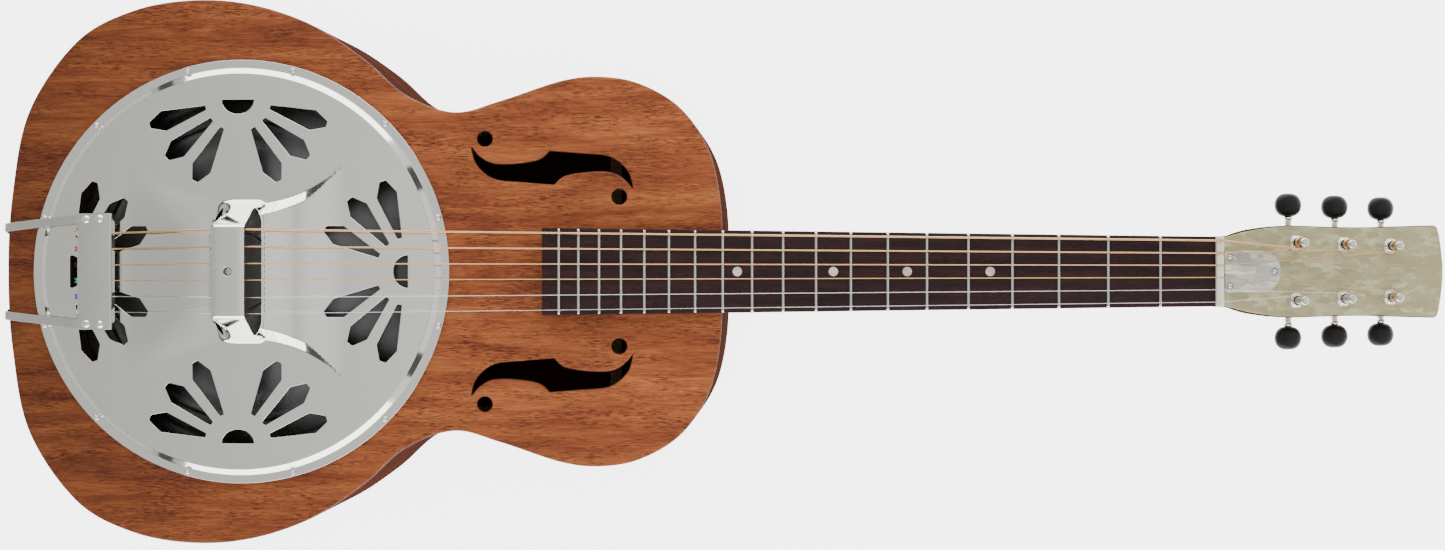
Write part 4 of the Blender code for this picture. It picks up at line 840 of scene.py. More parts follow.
def make_cover():
    hole_radius = 0.0028
    holes = fan_outlines() + rest_openings() + [circle(hole_radius, 32, (REST_CENTRE, 0.0))]
    plate = sheet(circle(COVER_RADIUS, 360), holes, cover_points(), cover_height, COVER_SHEET, 0.00032,
                  0.0012)
    piece("cover_plate_skin", shifted(plate, COVER_X, 0.0, TOP_Z), MATS["nickel"], replaces=["cover_plate"])
    heads = []
    for k in range(COVER_SCREWS):
        angle = math.radians(15 + 30 * k)
        place = Matrix.Translation((COVER_X + COVER_SCREW_CIRCLE * math.cos(angle),
                                    COVER_SCREW_CIRCLE * math.sin(angle), TOP_Z + FLANGE))
        turn = Matrix.Rotation(angle + 0.6 + k * 1.7, 4, "Z")
        heads.append(moved(screw_head(0.00205, 0.0019, 0.0002), place @ turn))
    piece("cover_screws", join(*heads), MATS["nickel"], sharp=60)
    top = TOP_Z + cover_height(REST_CENTRE + hole_radius, 0.0)
    walls = turned([(0.0029, top - 0.0046), (0.0029, top - 0.0008), (0.0027, top - 0.0004),
                    (0.00255, top - 0.0008), (0.00255, top - 0.0036), (0.0002, top - 0.0036)], 32)
    piece("rest_screw_cup", shifted(walls, REST_CENTRE + COVER_X, 0.0, 0.0), MATS["nickel_satin"])
    head = moved(screw_head(0.0021, 0.0007), Matrix.Translation((REST_CENTRE + COVER_X, 0.0, top - 0.0026)))
    piece("rest_screw_head", head, MATS["steel"], sharp=60)


# Resonator


def make_resonator():
    base = 0.0753 + 0.0006
    rise = 0.0242
    profile = [(0.1205, base), (0.1150, base), (0.1138, base + 0.0004), (0.1120, base + 0.0006),
               (0.1100, base + 0.0011), (0.100, base + 0.14 * rise), (0.0995, base + 0.14 * rise + 0.0006),
               (0.0975, base + 0.14 * rise + 0.0009), (0.0965, base + 0.165 * rise), (0.080, base + 0.34 * rise),
               (0.060, base + 0.535 * rise), (0.0592, base + 0.535 * rise + 0.0007),
               (0.0575, base + 0.535 * rise + 0.0008), (0.0568, base + 0.56 * rise), (0.045, base + 0.70 * rise),
               (0.030, base + 0.86 * rise), (0.022, base + 0.93 * rise), (0.014, base + rise),
               (0.004, base + rise)]
    fine = []
    for (r1, z1), (r2, z2) in zip(profile, profile[1:]):
        steps = max(1, int((r1 - r2) / 0.0018))
        for i in range(steps):
            ripple = 0.00008 * (i % 2) if r1 < 0.112 and steps > 2 else 0.0
            fine.append((r1 + (r2 - r1) * i / steps, z1 + (z2 - z1) * i / steps - ripple))
    fine.append(profile[-1])
    lower = [(radius, z - 0.0006) for radius, z in reversed(fine)]
    rows = [[(x, y, z) for x, y in circle(radius, 128, (COVER_X, 0.0))] for radius, z in fine + lower]
    piece("cone_skin", skin(rows, closed=True), MATS["cone"], replaces=["resonator_cone"],
          sharp=60)
    bottom, top = 0.1004, 0.1084
    radius = 0.0255
    disc = turned([(radius - 0.001, bottom), (radius - 0.0003, bottom + 0.0003), (radius, bottom + 0.001),
                   (radius, top - 0.0014), (radius - 0.0004, top - 0.0004), (radius - 0.0014, top),
                   (0.0005, top)], 72)
    piece("biscuit_disc", disc, MATS["ebony"], replaces=["bridge_biscuit"])
    make_saddle(top)


STRINGS = (("e_low", 0.00067, 0.0251, 0.0271, 0.0199, 0), ("a", 0.00054, 0.0148, 0.0161, 0.0118, 1),
           ("d", 0.00041, 0.0043, 0.0052, 0.0040, 2), ("g", 0.00031, -0.0059, -0.0055, -0.0038, 2),
           ("b", 0.00021, -0.0163, -0.0168, -0.0117, 1), ("e_high", 0.00016, -0.0265, -0.0272, -0.0196, 0))
OVER_SADDLE = 0.0043
OVER_NUT = 0.0006
TUNER_ROWS = ((0.0521, 0.01885), (0.0866, 0.01785), (0.1213, 0.01705))
POST_RADIUS = 0.0028


def make_saddle(low):
    """Maple blade with a dark cap whose crest follows the strings and is notched under each."""
    half = 0.0305
    crest = neck_point(0.0, 0.0, OVER_SADDLE).z

    def cap_top(y):
        z = crest + 0.0003
        for _, radius, _, y_saddle, _, _ in STRINGS:
            gap = abs(y - y_saddle)
            if gap < radius * 1.3:
                z = min(z, crest - 0.00005 + max(0.0, gap - radius) * 0.5)
        return z

    places = sorted({-half, half} | {y + k * radius * 0.43 for _, radius, _, y, _, _ in STRINGS
                                     for k in range(-4, 5)} | {-half + half * i / 20 for i in range(1, 40)})
    blade, cap = [], []
    for y in places:
        z = cap_top(y)
        seam = crest - 0.0026
        blade.append([(-0.0016, y, low - 0.0025), (0.0016, y, low - 0.0025), (0.0016, y, seam),
                      (-0.0016, y, seam)])
        cap.append([(-0.0016, y, seam), (0.0016, y, seam), (0.0016, y, z - 0.0011), (0.0006, y, z - 0.0001),
                    (-0.0006, y, z - 0.0001), (-0.0016, y, z - 0.0011)])
    piece("saddle_blade", skin(blade), MATS["maple"], replaces=["bridge_saddle"])
    piece("saddle_cap", skin(cap), MATS["ebony"], sharp=50)


# Tailpiece


TAIL_END = -0.160
BAR_X = (-0.1052, -0.0825)
BAR_TOP = TOP_Z + 0.0158
BAR_SHEET = 0.0014


def dome_head(radius, rise, segments=28):
    rows = [(radius, 0.0)]
    for i in range(1, 9):
        angle = math.pi / 2 * i / 9
        rows.append((radius * math.cos(angle), rise * math.sin(angle)))
    return turned([(radius, -0.0004)] + rows, segments)


def make_tailpiece():
    back, front = BAR_X
    under = BAR_TOP - BAR_SHEET
    outer = rounded([(back, under), (back, BAR_TOP), (front, BAR_TOP), (front, BAR_TOP - 0.0055)], 0.0011, 5)
    lip_back = front - BAR_SHEET
    inner = rounded([(lip_back, BAR_TOP - 0.0055), (lip_back, under), (back, under)], 0.0004, 3)
    section = outer[1:] + inner[:-1] + [(back, under)]
    half = 0.038
    rows = []
    for y, shrink in ((-half, 0.0004), (-half + 0.0002, 0.0001), (-half + 0.0005, 0.0), (half - 0.0005, 0.0),
                      (half - 0.0002, 0.0001), (half, 0.0004)):
        rows.append([(x + shrink * (1 if x < -0.09 else -1), y, z - (shrink if z > under else 0.0))
                     for x, z in section])
    lip = slab([(-0.0285, 0.0), (0.0285, 0.0), (0.0285, 0.0055), (-0.0285, 0.0055)], 0.0, BAR_SHEET, 0.0003)
    turn = Matrix(((0.0, 0.0, 1.0, back), (1.0, 0.0, 0.0, 0.0), (0.0, 1.0, 0.0, BAR_TOP - 0.0065),
                   (0.0, 0.0, 0.0, 1.0)))
    bar = join(skin(rows), moved(lip, turn))
    piece("tail_crossbar", bar, MATS["nickel_satin"], replaces=["tailpiece_crossbar"], sharp=35)
    rivets = []
    for x, y in ((-0.0992, 0.0341), (-0.0902, 0.0345), (-0.0992, -0.0341), (-0.0902, -0.0345)):
        rivets.append(shifted(dome_head(0.0027, 0.0021), x, y, BAR_TOP))
    piece("crossbar_rivets", join(*rivets), MATS["nickel"], sharp=60)
    make_straps()
    make_tail_end()


def strap_path(side):
    height = BAR_TOP - BAR_SHEET - 0.0003 - 0.00065 - 0.0002
    tail_x = TAIL_END
    tail_face = tail_x - 0.0003 - 0.00065
    flat = Vector((0.0, side, 0.0))
    y_tail = side * 0.0292
    y_bar = side * 0.0346
    down = Vector((0.0, side * (0.0095 - 0.0292), 0.040 - TOP_Z)).normalized()
    slant = Vector((0.0, side * abs(down.z), -abs(down.y)))
    end = Vector((tail_face, side * 0.0095, 0.0565))
    return [(Vector((-0.0865, y_bar, height)), flat), (Vector((-0.1065, y_bar, height)), flat),
            (Vector((tail_x + 0.0012, y_tail, TOP_Z + 0.0033)), flat),
            (Vector((tail_x - 0.0003, y_tail, TOP_Z + 0.0024)), flat),
            (Vector((tail_face, y_tail - side * 0.0001, TOP_Z + 0.0004)), flat),
            (Vector((tail_face, y_tail - side * 0.0020, TOP_Z - 0.0050)), slant), (end, slant)]


def make_straps():
    for name, node, side in (("bass_strap", "bass_tail_strap", 1), ("treble_strap", "treble_tail_strap", -1)):
        control = strap_path(side)
        flat_run = rounded([tuple(place) for place, _ in control[:3]], 0.004, 4)
        path = [Vector(point) for point in flat_run[:-1]] + [place for place, _ in control[2:]]
        widths = [control[0][1]] * len(flat_run[:-1]) + [width for _, width in control[2:]]
        rows = []
        for i, place in enumerate(path):
            along = (path[min(i + 1, len(path) - 1)] - path[max(i - 1, 0)]).normalized()
            normal = along.cross(widths[i]).normalized()
            across = widths[i].normalized()
            row = []
            corners = ((-1, -1), (1, -1), (1, 1), (-1, 1))
            for sx, sz in corners:
                turn = ((1.0, 0.72), (0.9, 1.0)) if sx * sz > 0 else ((0.9, 1.0), (1.0, 0.72))
                for wx, wz in turn:
                    row.append(place + across * (0.0028 * sx * wx) + normal * (0.00065 * sz * wz))
            rows.append(row)
        piece(name, skin(rows), MATS["nickel_satin"], replaces=[node], sharp=50)


def make_tail_end():
    inner = TAIL_END - 0.0006 - 0.0013
    half = 0.0145
    section = [(-half + 0.003, 0.040), (half - 0.003, 0.040), (half, 0.043), (half, 0.064), (-half, 0.064),
               (-half, 0.043)]
    plate = slab(rounded_loop(section, 0.0022, 5), 0.0, 0.0013, 0.0004)
    turn = Matrix(((0.0, 0.0, -1.0, inner), (1.0, 0.0, 0.0, 0.0), (0.0, 1.0, 0.0, 0.0), (0.0, 0.0, 0.0, 1.0)))
    screws = []
    for y in (-0.0105, 0.0105):
        screws.append(moved(screw_head(0.0022, 0.0011), turn @ Matrix.Translation((y, 0.0585, 0.0013))))
    piece("tail_bracket", moved(plate, turn), MATS["nickel_satin"], replaces=["tailpiece_bracket"],
          sharp=50)
    piece("bracket_screws", join(*screws), MATS["nickel"], sharp=60)
    face = TAIL_END - 0.0009 - 0.0026
    profile = [(0.0030, -0.014), (0.0030, 0.0)]
    knob = spline([(0.0045, 0.0), (0.0062, 0.0012), (0.0046, 0.0028), (0.0038, 0.0052), (0.0052, 0.0072),
                   (0.0066, 0.0086), (0.0066, 0.0100), (0.0056, 0.0108)], 4)
    pin = turned(profile + knob, 40)
    turn = Matrix.Translation((face, 0.0, 0.050)) @ Matrix.Rotation(-math.pi / 2, 4, "Y")
    piece("strap_pin", moved(pin, turn), MATS["nickel"], replaces=["end_pin"], sharp=50)


# Strings


def string_route(index):
    _, radius, y_tail, y_saddle, y_nut, row = STRINGS[index]
    side = 1 if index < 3 else -1
    along, across = TUNER_ROWS[row]
    post_y = side * (across - POST_RADIUS - radius - 0.0006)
    return [Vector((-0.1075, y_tail, TOP_Z + 0.0107)), Vector((BAR_X[1], y_tail, TOP_Z + 0.0133)),
            neck_point(0.0, y_saddle, OVER_SADDLE + radius),
            neck_point(SCALE_LENGTH + 0.0005, y_nut, OVER_NUT + radius),
            neck_point(SCALE_LENGTH + 0.0035, y_nut, OVER_NUT + radius - 0.0003),
            head_point(along, post_y, 0.0065)]


def make_strings():
    for index, (name, radius, *_, row) in enumerate(STRINGS):
        route = string_route(index)
        wound = index < 4
        path = [route[0]]
        pitch = 0.0011
        for start, end in zip(route, route[1:]):
            steps = max(2, int((end - start).length / (pitch / 2))) if wound else 3
            path += [start.lerp(end, i / steps) for i in range(1, steps + 1)]
        radii = [radius * (1.0 - 0.13 * (i % 2)) for i in range(len(path))] if wound else radius
        material = MATS["bronze"] if wound else MATS["steel"]
        piece(f"string_run_{name}", tube(path, radii, 8 if wound else 10), material, replaces=[f"string_{name}"],
              sharp=80)
        make_winding(index)
    balls = ("brass", "red", "black", "green", "purple", "silver")
    for index, ball in enumerate(balls):
        route = string_route(index)
        profile = [(0.0010, -0.0016), (0.0018, -0.0016), (0.0019, -0.0009), (0.0013, -0.0004), (0.0013, 0.0004),
                   (0.0019, 0.0009), (0.0018, 0.0016), (0.0010, 0.0016)]
        rows = [[(x, y, z) for x, y in circle(r, 20)] for r, z in profile]
        shape = skin(rows, closed=True)
        turn = Matrix.Rotation(math.pi / 2, 4, "X")
        place = Matrix.Translation((BAR_X[0] - 0.0012, route[0].y, BAR_TOP - 0.0034))
        piece(f"ball_end_{STRINGS[index][0]}", moved(shape, place @ turn), MATS[ball],
              sharp=50)


def make_winding(index):
    """The turns of string round the post."""
    name, radius, *_, row = STRINGS[index]
    side = 1 if index < 3 else -1
    along, across = TUNER_ROWS[row]
    turns = 2.6 if index < 4 else 4.2
    reach = POST_RADIUS - 0.00035 + radius
    path = []
    count = int(turns * 28)
    for i in range(count + 1):
        angle = -side * math.pi / 2 + side * 2 * math.pi * turns * i / count
        up = 0.0065 - (2 * radius + 0.00005) * turns * i / count * 0.55
        path.append((along + reach * math.cos(angle), side * across + reach * math.sin(angle), up))
    coil = tube([HEAD_FRAME @ Vector(point) for point in path], radius, 8)
    piece(f"winding_{name}", coil, MATS["bronze" if index < 4 else "steel"], body=f"post_{name}",
          sharp=80)


# Neck


HEEL_LENGTH = 0.052
HEEL_DEPTH = 0.084
NECK_DEPTHS = (0.0175, 0.0142)
HEAD_WOOD = 0.013


def half_section(half_width, depth, roundness, narrowing=0.0, steps=28):
    points = []
    for i in range(steps + 1):
        angle = math.pi * i / steps
        cos, sin = math.cos(angle), math.sin(angle)
        y = math.copysign(abs(cos) ** (2 / roundness), cos) * half_width
        drop = abs(sin) ** (2 / roundness)
        points.append((y * (1 - narrowing * drop), -depth * drop))
    return points


BOARD_BOTTOM = -0.0071
WOOD_TOP = -0.0018
HEAD_OUTLINE = ((0.000, 0.0222), (0.012, 0.0256), (0.024, 0.0279), (0.040, 0.0298), (0.055, 0.0301),
                (0.080, 0.0294), (0.103, 0.0293), (0.125, 0.0300), (0.150, 0.0308), (0.1555, 0.0308))
FRET_COUNT = 19
TRUSS_HALF_WIDTH = 0.0134
TRUSS_STRAIGHT = 0.0275
TRUSS_ROUND = 0.0130
TRUSS_SCREWS = ((0.0042, 0.0093), (0.0042, -0.0093), (0.0360, 0.0))
HEAD_TIP = ((0.1575, 0.0295), (0.1592, 0.0235), (0.1606, 0.0150), (0.1618, 0.0045))


def neck_section(x, half_width, depth, roundness, narrowing=0.0):
    along = (x - (BOARD_BOTTOM - 0.0003) * math.sin(NECK_ANGLE)) / math.cos(NECK_ANGLE)
    top = neck_point(along, 0.0, BOARD_BOTTOM).z
    return [Vector((x, y, top + z)) for y, z in half_section(half_width, depth, roundness, narrowing)]


def head_section(along, half_width, roundness):
    return [head_point(along, y, WOOD_TOP + z) for y, z in half_section(half_width, HEAD_WOOD, roundness)]


def make_neck():
    rows = []
    body_x = 0.3161
    end_x = neck_point(SCALE_LENGTH - 0.004, 0.0, BOARD_BOTTOM).x
    shares = [0.0, 0.02, 0.05, 0.09, 0.14, 0.2, 0.27, 0.35, 0.44, 0.54, 0.65, 0.76, 0.88, 1.0]
    stations = [body_x + HEEL_LENGTH * share for share in shares]
    stations += [0.40, 0.44, 0.48, 0.52, 0.56, 0.60, end_x]
    for x in stations:
        share = (x - body_x) / (end_x - body_x)
        depth = NECK_DEPTHS[0] + (NECK_DEPTHS[1] - NECK_DEPTHS[0]) * share
        curl = max(0.0, 1 - (x - body_x) / HEEL_LENGTH)
        depth += (HEEL_DEPTH - NECK_DEPTHS[0]) * curl ** 2.6
        half_width = board_half_width(x / math.cos(NECK_ANGLE))
        narrowing = (1 - 0.0150 / half_width) * curl ** 1.2
        rows.append(neck_section(x, half_width, depth, 2.2 + 1.4 * curl, narrowing))
    rows.append(head_section(0.004, 0.0232, 2.8))
    side = spline(HEAD_OUTLINE, 4)[1:]
    for along, half_width in side:
        if along > 0.009:
            roundness = 4.0 + 5.0 * ease((along - 0.012) / 0.014)
            rows.append(head_section(along, half_width, roundness))
    for along, half_width in spline([HEAD_OUTLINE[-1], *HEAD_TIP], 3)[1:]:
        rows.append(head_section(along, half_width, 9.0))
    piece("neck_wood", skin(rows), MATS["side"], replaces=["neck"], sharp=50)


def fret_along(fret):
    return SCALE_LENGTH * 2 ** (-fret / 12)


def make_fingerboard():
    start, end = BOARD_END, SCALE_LENGTH
    half = [board_half_width(along) for along in (start, end)]
    outline = [(start, -half[0]), (end, -half[1]), (end, half[1]), (start, half[0])]
    board = slab(outline, -0.0071, -0.0011, 0.0005)
    piece("fingerboard_wood", moved(board, NECK_FRAME), MATS["rosewood"], replaces=["fingerboard"])
    wires = []
    for fret in range(1, FRET_COUNT + 1):
        along = fret_along(fret)
        reach = board_half_width(along) - 0.0004
        rows = []
        for y, scale in ((-reach, 0.25), (-reach + 0.0005, 0.8), (-reach + 0.0011, 1.0), (reach - 0.0011, 1.0),
                         (reach - 0.0005, 0.8), (reach, 0.25)):
            rows.append([(along + 0.00095 * math.cos(angle), y, -0.0012 + 0.0011 * scale * math.sin(angle))
                         for angle in [math.pi * k / 8 for k in range(9)]])
        wires.append(moved(skin(rows), NECK_FRAME))
    piece("fret_wires", join(*wires), MATS["fret"], sharp=60)
    for group, finish, frets in (("low", "pink", (5, 7)), ("high", "dot", (9, 12))):
        profile = [(0.00300, -0.0016), (0.00300, -0.00108), (0.0029, -0.00104), (0.0004, -0.00104)]
        shapes = []
        for fret in frets:
            along = (fret_along(fret) + fret_along(fret - 1)) / 2
            shapes.append(moved(shifted(turned(profile, 36), along, 0.0, 0.0), NECK_FRAME))
        piece(f"fret_markers_{group}", join(*shapes), MATS[finish], sharp=50)


def make_nut():
    """Nut with a sloped, rounded top and a slot under each string."""
    low = -0.0071
    places = {-NUT_HALF_WIDTH, NUT_HALF_WIDTH, -NUT_HALF_WIDTH + 0.0004, NUT_HALF_WIDTH - 0.0004}
    for _, radius, _, _, y, _ in STRINGS:
        places |= {y + radius * k for k in (-1.5, -1.15, -0.8, -0.4, 0.0, 0.4, 0.8, 1.15, 1.5)}
    rows = []
    for y in sorted(places):
        cut = 0.0
        for _, radius, _, _, y_nut, _ in STRINGS:
            gap = abs(y - y_nut) / radius
            if gap < 1.2:
                cut = max(cut, radius * (0.9 if gap < 1.0 else 0.2))
        end = 0.0004 if abs(y) > NUT_HALF_WIDTH - 0.0002 else 0.0
        top = 0.0009 + 0.0003 - end
        rows.append([(SCALE_LENGTH, y, low), (NUT_BACK, y, low), (NUT_BACK, y, -0.0012 - end),
                     (NUT_BACK - 0.0008, y, -0.0004 - end), (SCALE_LENGTH + 0.0032, y, top - 0.0003 - cut),
                     (SCALE_LENGTH + 0.0012, y, top - cut), (SCALE_LENGTH + 0.0004, y, top - cut - 0.0001),
                     (SCALE_LENGTH, y, top - cut - 0.0004)])
    piece("nut_bone", moved(skin(rows), NECK_FRAME), MATS["bone"], replaces=["nut"], sharp=50)


def head_outline(start, steps=4):
    side = [(start, HEAD_OUTLINE[0][1] + 0.0002)] + list(spline(HEAD_OUTLINE, steps))[2:]
    side += list(spline([HEAD_OUTLINE[-1], *HEAD_TIP], steps))[1:]
    return [(along, -half) for along, half in side] + [(along, half) for along, half in reversed(side)]


def make_head():
    holes = [circle(0.0032, 28, (along, side * across)) for along, across in TUNER_ROWS for side in (1, -1)]
    outline = offset(turned_to(head_outline(0.0), 1), 0.0007)
    facing = sheet(outline, holes, [], lambda x, y: 0.0, 0.0018, 0.0003, 0.003)
    piece("head_facing", moved(facing, HEAD_FRAME), MATS["cream"], replaces=["headstock_veneer"])
    width, straight = TRUSS_HALF_WIDTH, TRUSS_STRAIGHT
    outline = [(0.0006, -width), (straight, -width)]
    outline += [(straight + TRUSS_ROUND * math.cos(math.radians(angle)), width * math.sin(math.radians(angle)))
                for angle in range(-80, 81, 8)]
    outline += [(straight, width), (0.0006, width)]
    holes = [circle(0.0022, 28, place) for place in TRUSS_SCREWS]
    cover = sheet(outline, holes, [], lambda x, y: 0.0019, 0.0018, 0.0006, 0.002)
    piece("truss_cover_plate", moved(cover, HEAD_FRAME), MATS["white"], replaces=["truss_rod_cover"])
    heads = []
    for k, (x, y) in enumerate(TRUSS_SCREWS):
        turn = Matrix.Translation((x, y, 0.0008)) @ Matrix.Rotation(0.5 + k, 4, "Z")
        heads.append(moved(screw_head(0.0019, 0.0016, 0.0009), HEAD_FRAME @ turn))
    piece("truss_cover_screws", join(*heads), MATS["nickel"], sharp=60)


# Tuners


WORM_DEPTH = 0.0193
WORM_OFFSET = 0.0065
GEAR_TEETH = 14
WORM_PITCH = 0.00195
GEAR_PITCH_RADIUS = GEAR_TEETH * WORM_PITCH / (2 * math.pi)
BUTTON_OFFSET = 0.0254
BUTTON_HALF = (0.0093, 0.0045, 0.0078)
WOOD_BOTTOM = WOOD_TOP - HEAD_WOOD


def gear_shape():
    """Gear with slanted teeth about Z, at the worm's height."""
    pitch = 2 * math.pi / GEAR_TEETH
    tip, root = GEAR_PITCH_RADIUS + 0.00040, GEAR_PITCH_RADIUS - 0.00062
    half = 0.0016
    slant = half * WORM_PITCH / (2 * math.pi * (WORM_OFFSET - GEAR_PITCH_RADIUS)) / GEAR_PITCH_RADIUS
    rows = []
    for level, shrink in ((-1.0, 0.0002), (-0.9, 0.0), (0.9, 0.0), (1.0, 0.0002)):
        row = []
        for tooth in range(GEAR_TEETH):
            middle = slant * level + (tooth + 0.5) * pitch
            for radius, width in ((root, -0.00053), (root + 0.0002, -0.00047), (tip - 0.0001, -0.00024),
                                  (tip, -0.00016), (tip, 0.00016), (tip - 0.0001, 0.00024),
                                  (root + 0.0002, 0.00047), (root, 0.00053)):
                angle = middle + width / radius
                reach = radius - (shrink if radius > root + 0.0004 else 0.0)
                row.append((reach * math.cos(angle), reach * math.sin(angle), -WORM_DEPTH + half * level))
        rows.append(row)
    return skin(rows)


def worm_shape():
    """Right-handed worm about Z with a crest towards X at Z = 0, drawn as a swept ring of radii."""
    segments = 28
    rows = []
    length = 0.0046
    count = 112
    for k in range(count + 1):
        z = -length + 2 * length * k / count
        row = []
        for i in range(segments):
            angle = 2 * math.pi * i / segments
            phase = ((z - WORM_PITCH * angle / (2 * math.pi)) / WORM_PITCH + 0.5) % 1.0 - 0.5
            gap = abs(phase) * WORM_PITCH
            share = min(max((0.00047 - gap) / (0.00047 - 0.00013), 0.0), 1.0)
            fade = min((length - abs(z)) / 0.0006, 1.0)
            radius = 0.00153 + (0.00258 - 0.00153) * share * fade
            row.append((radius * math.cos(angle), radius * math.sin(angle), z))
        rows.append(row)
    return skin(rows)


def shaft_shape():
    """Bearing ends, collar and waisted stem out to the button."""
    inner = turned([(0.0012, -0.0078), (0.0015, -0.0075), (0.0015, -0.0046)], 24)
    outer = turned([(0.0015, 0.0046), (0.0015, 0.0069), (0.0024, 0.0070), (0.0027, 0.0074), (0.0027, 0.0100),
                    (0.0025, 0.0112), (0.0024, 0.0126), (0.0024, 0.0149), (0.0028, 0.0152), (0.0030, 0.0157),
                    (0.0030, 0.0167), (0.0027, 0.0173), (0.0021, 0.0176), (0.0017, 0.0181), (0.0017, 0.0260)], 28)
    return join(worm_shape(), inner, outer)


def button_shape():
    """Flattened oval knob about Z, which is the shaft's axis."""
    half = BUTTON_HALF
    stations = 26
    rows = []
    for i in range(stations):
        angle = math.pi * (i + 0.5) / stations
        swell = math.sin(angle) ** 0.72
        flat = math.sin(angle) ** 0.8
        z = -half[2] * math.cos(angle)
        row = []
        for k in range(40):
            turn = 2 * math.pi * k / 40
            cos, sin = math.cos(turn), math.sin(turn)
            x = half[0] * swell * math.copysign(abs(cos) ** 0.97, cos)
            y = half[1] * flat * math.copysign(abs(sin) ** 0.8, sin)
            row.append((x, y, z))
        rows.append(row)
    return skin(rows)


def post_shape():
    """Barrel with a waist for the string, over the gear."""
    low = -WORM_DEPTH - 0.0024
    profile = [(0.0018, low), (0.0026, low + 0.0004), (POST_RADIUS, low + 0.0008), (POST_RADIUS, 0.0034),
               (0.0026, 0.0040), (0.00245, 0.0052), (0.00245, 0.0074), (0.0026, 0.0086), (POST_RADIUS, 0.0092),
               (POST_RADIUS, 0.0104), (0.0027, 0.0110), (0.0023, 0.0114), (0.0012, 0.0115)]
    return turned(profile, 40)


def bushing_shape():
    """Threaded bushing with a hexagonal flange over a washer, round the post."""
    washer = [(0.0034, 0.0001), (0.0052, 0.0001), (0.0052, 0.0004), (0.0049, 0.0006), (0.0034, 0.0006)]
    rows = [[(x, y, z) for x, y in circle(r, 48)] for r, z in washer]
    shape = [skin(rows, closed=True)]
    hexagon = rounded_loop(circle(0.0051, 6), 0.0009, 4)
    scale = [(0.92, 0.0006), (0.97, 0.0008), (0.97, 0.0018), (0.90, 0.0022), (0.80, 0.0024)]
    rows = [[(x * s, y * s, z) for x, y in hexagon] for s, z in scale]
    rows += [[(x, y, z) for x, y in [(p * 0.0040 / math.hypot(p, q), q * 0.0040 / math.hypot(p, q))
                                     for p, q in hexagon]] for z in (0.0025, 0.0031)]
    rows += [[(p * r / math.hypot(p, q), q * r / math.hypot(p, q), z) for p, q in hexagon]
             for r, z in ((0.0038, 0.0033), (0.0033, 0.0033), (0.0033, 0.0006))]
    shape.append(skin(rows, closed=True))
    return join(*shape)


def plate_shape():
    """Base plate with two bearing ears and two screw lands, below the headstock."""
    top = WOOD_BOTTOM - 0.0003
    corners = [(-0.0068, -0.0088), (0.0108, -0.0088), (0.0108, 0.0088), (-0.0068, 0.0088)]
    base = slab(rounded_loop(corners, 0.0024, 5), top - 0.001, top, 0.0003)
    parts = [base]
    for end in (-1, 1):
        middle = end * (0.0056 + 0.0007)
        low = -WORM_DEPTH
        ear = []
        for k in range(21):
            angle = math.pi + math.pi * k / 20
            ear.append((WORM_OFFSET + 0.0032 * math.cos(angle), low + 0.0032 * math.sin(angle)))
        ear += [(WORM_OFFSET + 0.0032, top - 0.0008), (WORM_OFFSET - 0.0032, top - 0.0008)]
        shape = slab(ear, -0.0007, 0.0007, 0.0002)
        turn = Matrix(((1.0, 0.0, 0.0, 0.0), (0.0, 0.0, 1.0, middle), (0.0, 1.0, 0.0, 0.0),
                       (0.0, 0.0, 0.0, 1.0)))
        parts.append(moved(shape, turn))
    return join(*parts)


def make_tuners():
    bushings, screws = [], []
    for index, (name, *_, row) in enumerate(STRINGS):
        side = 1 if index < 3 else -1
        along, across = TUNER_ROWS[row]
        place = HEAD_FRAME @ Matrix.Translation((along, side * across, 0.0))
        post = join(post_shape(), gear_shape())
        piece(f"post_{name}_barrel", moved(post, place), MATS["nickel_satin"], body=f"post_{name}",
              replaces=[f"string_post_{name}"], sharp=45)
        piece(f"plate_{name}_stamped", moved(plate_shape(), place), MATS["nickel_satin"],
              replaces=[f"tuner_plate_{name}"], sharp=45)
        turn = Matrix(((-1.0, 0.0, 0.0), (0.0, 0.0, side), (0.0, side, 0.0))).to_4x4()
        axis = place @ Matrix.Translation((WORM_OFFSET, 0.0, -WORM_DEPTH)) @ turn
        piece(f"key_{name}_shaft", moved(shaft_shape(), axis), MATS["nickel"], body=f"key_{name}",
              replaces=[f"worm_shaft_{name}"], sharp=45)
        button = shifted(button_shape(), 0.0, 0.0, BUTTON_OFFSET)
        piece(f"key_{name}_button", moved(button, axis), MATS["button"], body=f"key_{name}",
              replaces=[f"tuner_button_{name}"], sharp=60)
        bushings.append(moved(bushing_shape(), place))
        flip = Matrix.Rotation(math.pi, 4, "X")
        low = WOOD_BOTTOM - 0.0013
        for x, y in ((-0.0044, 0.0064), (-0.0044, -0.0064)):
            screws.append(moved(screw_head(0.0019, 0.0009), place @ Matrix.Translation((x, y, low)) @ flip))
    piece("post_bushings", join(*bushings), MATS["nickel"], sharp=40)
    piece("tuner_plate_screws", join(*screws), MATS["nickel"], sharp=60)


def dress_cad_nodes():
    """The inner parts keep their CAD shapes and take a finish."""
    finishes = {"top_lining": "inner", "back_lining": "inner", "neck_block": "inner", "tail_block": "inner",
                "lower_back_brace": "inner", "upper_back_brace": "inner", "top_brace": "inner",
                "soundwell_ring": "well", "biscuit_screw": "steel", "truss_rod": "steel",
                "fingerboard_wedge": "side"}
    for node, finish in finishes.items():
        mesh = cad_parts[node].data
        mesh.materials.clear()
        mesh.materials.append(MATS[finish])


# Studio


FLOOR_GLOW = 4.0
FLOOR_REACH = 40.0


def aimed(obj, place, target):
    obj.location = place
    obj.rotation_mode = "QUATERNION"
    obj.rotation_quaternion = (Vector(target) - Vector(place)).to_track_quat("-Z", "Y")
    return obj


def softbox(name, place, target, size, radiance):
    light = bpy.data.lights.new(name, "AREA")
    light.shape = "RECTANGLE"
    light.size, light.size_y = size
    light.energy = radiance * math.pi * size[0] * size[1]
    obj = placed(name, light)
    obj.visible_camera = False
    return aimed(obj, place, target)


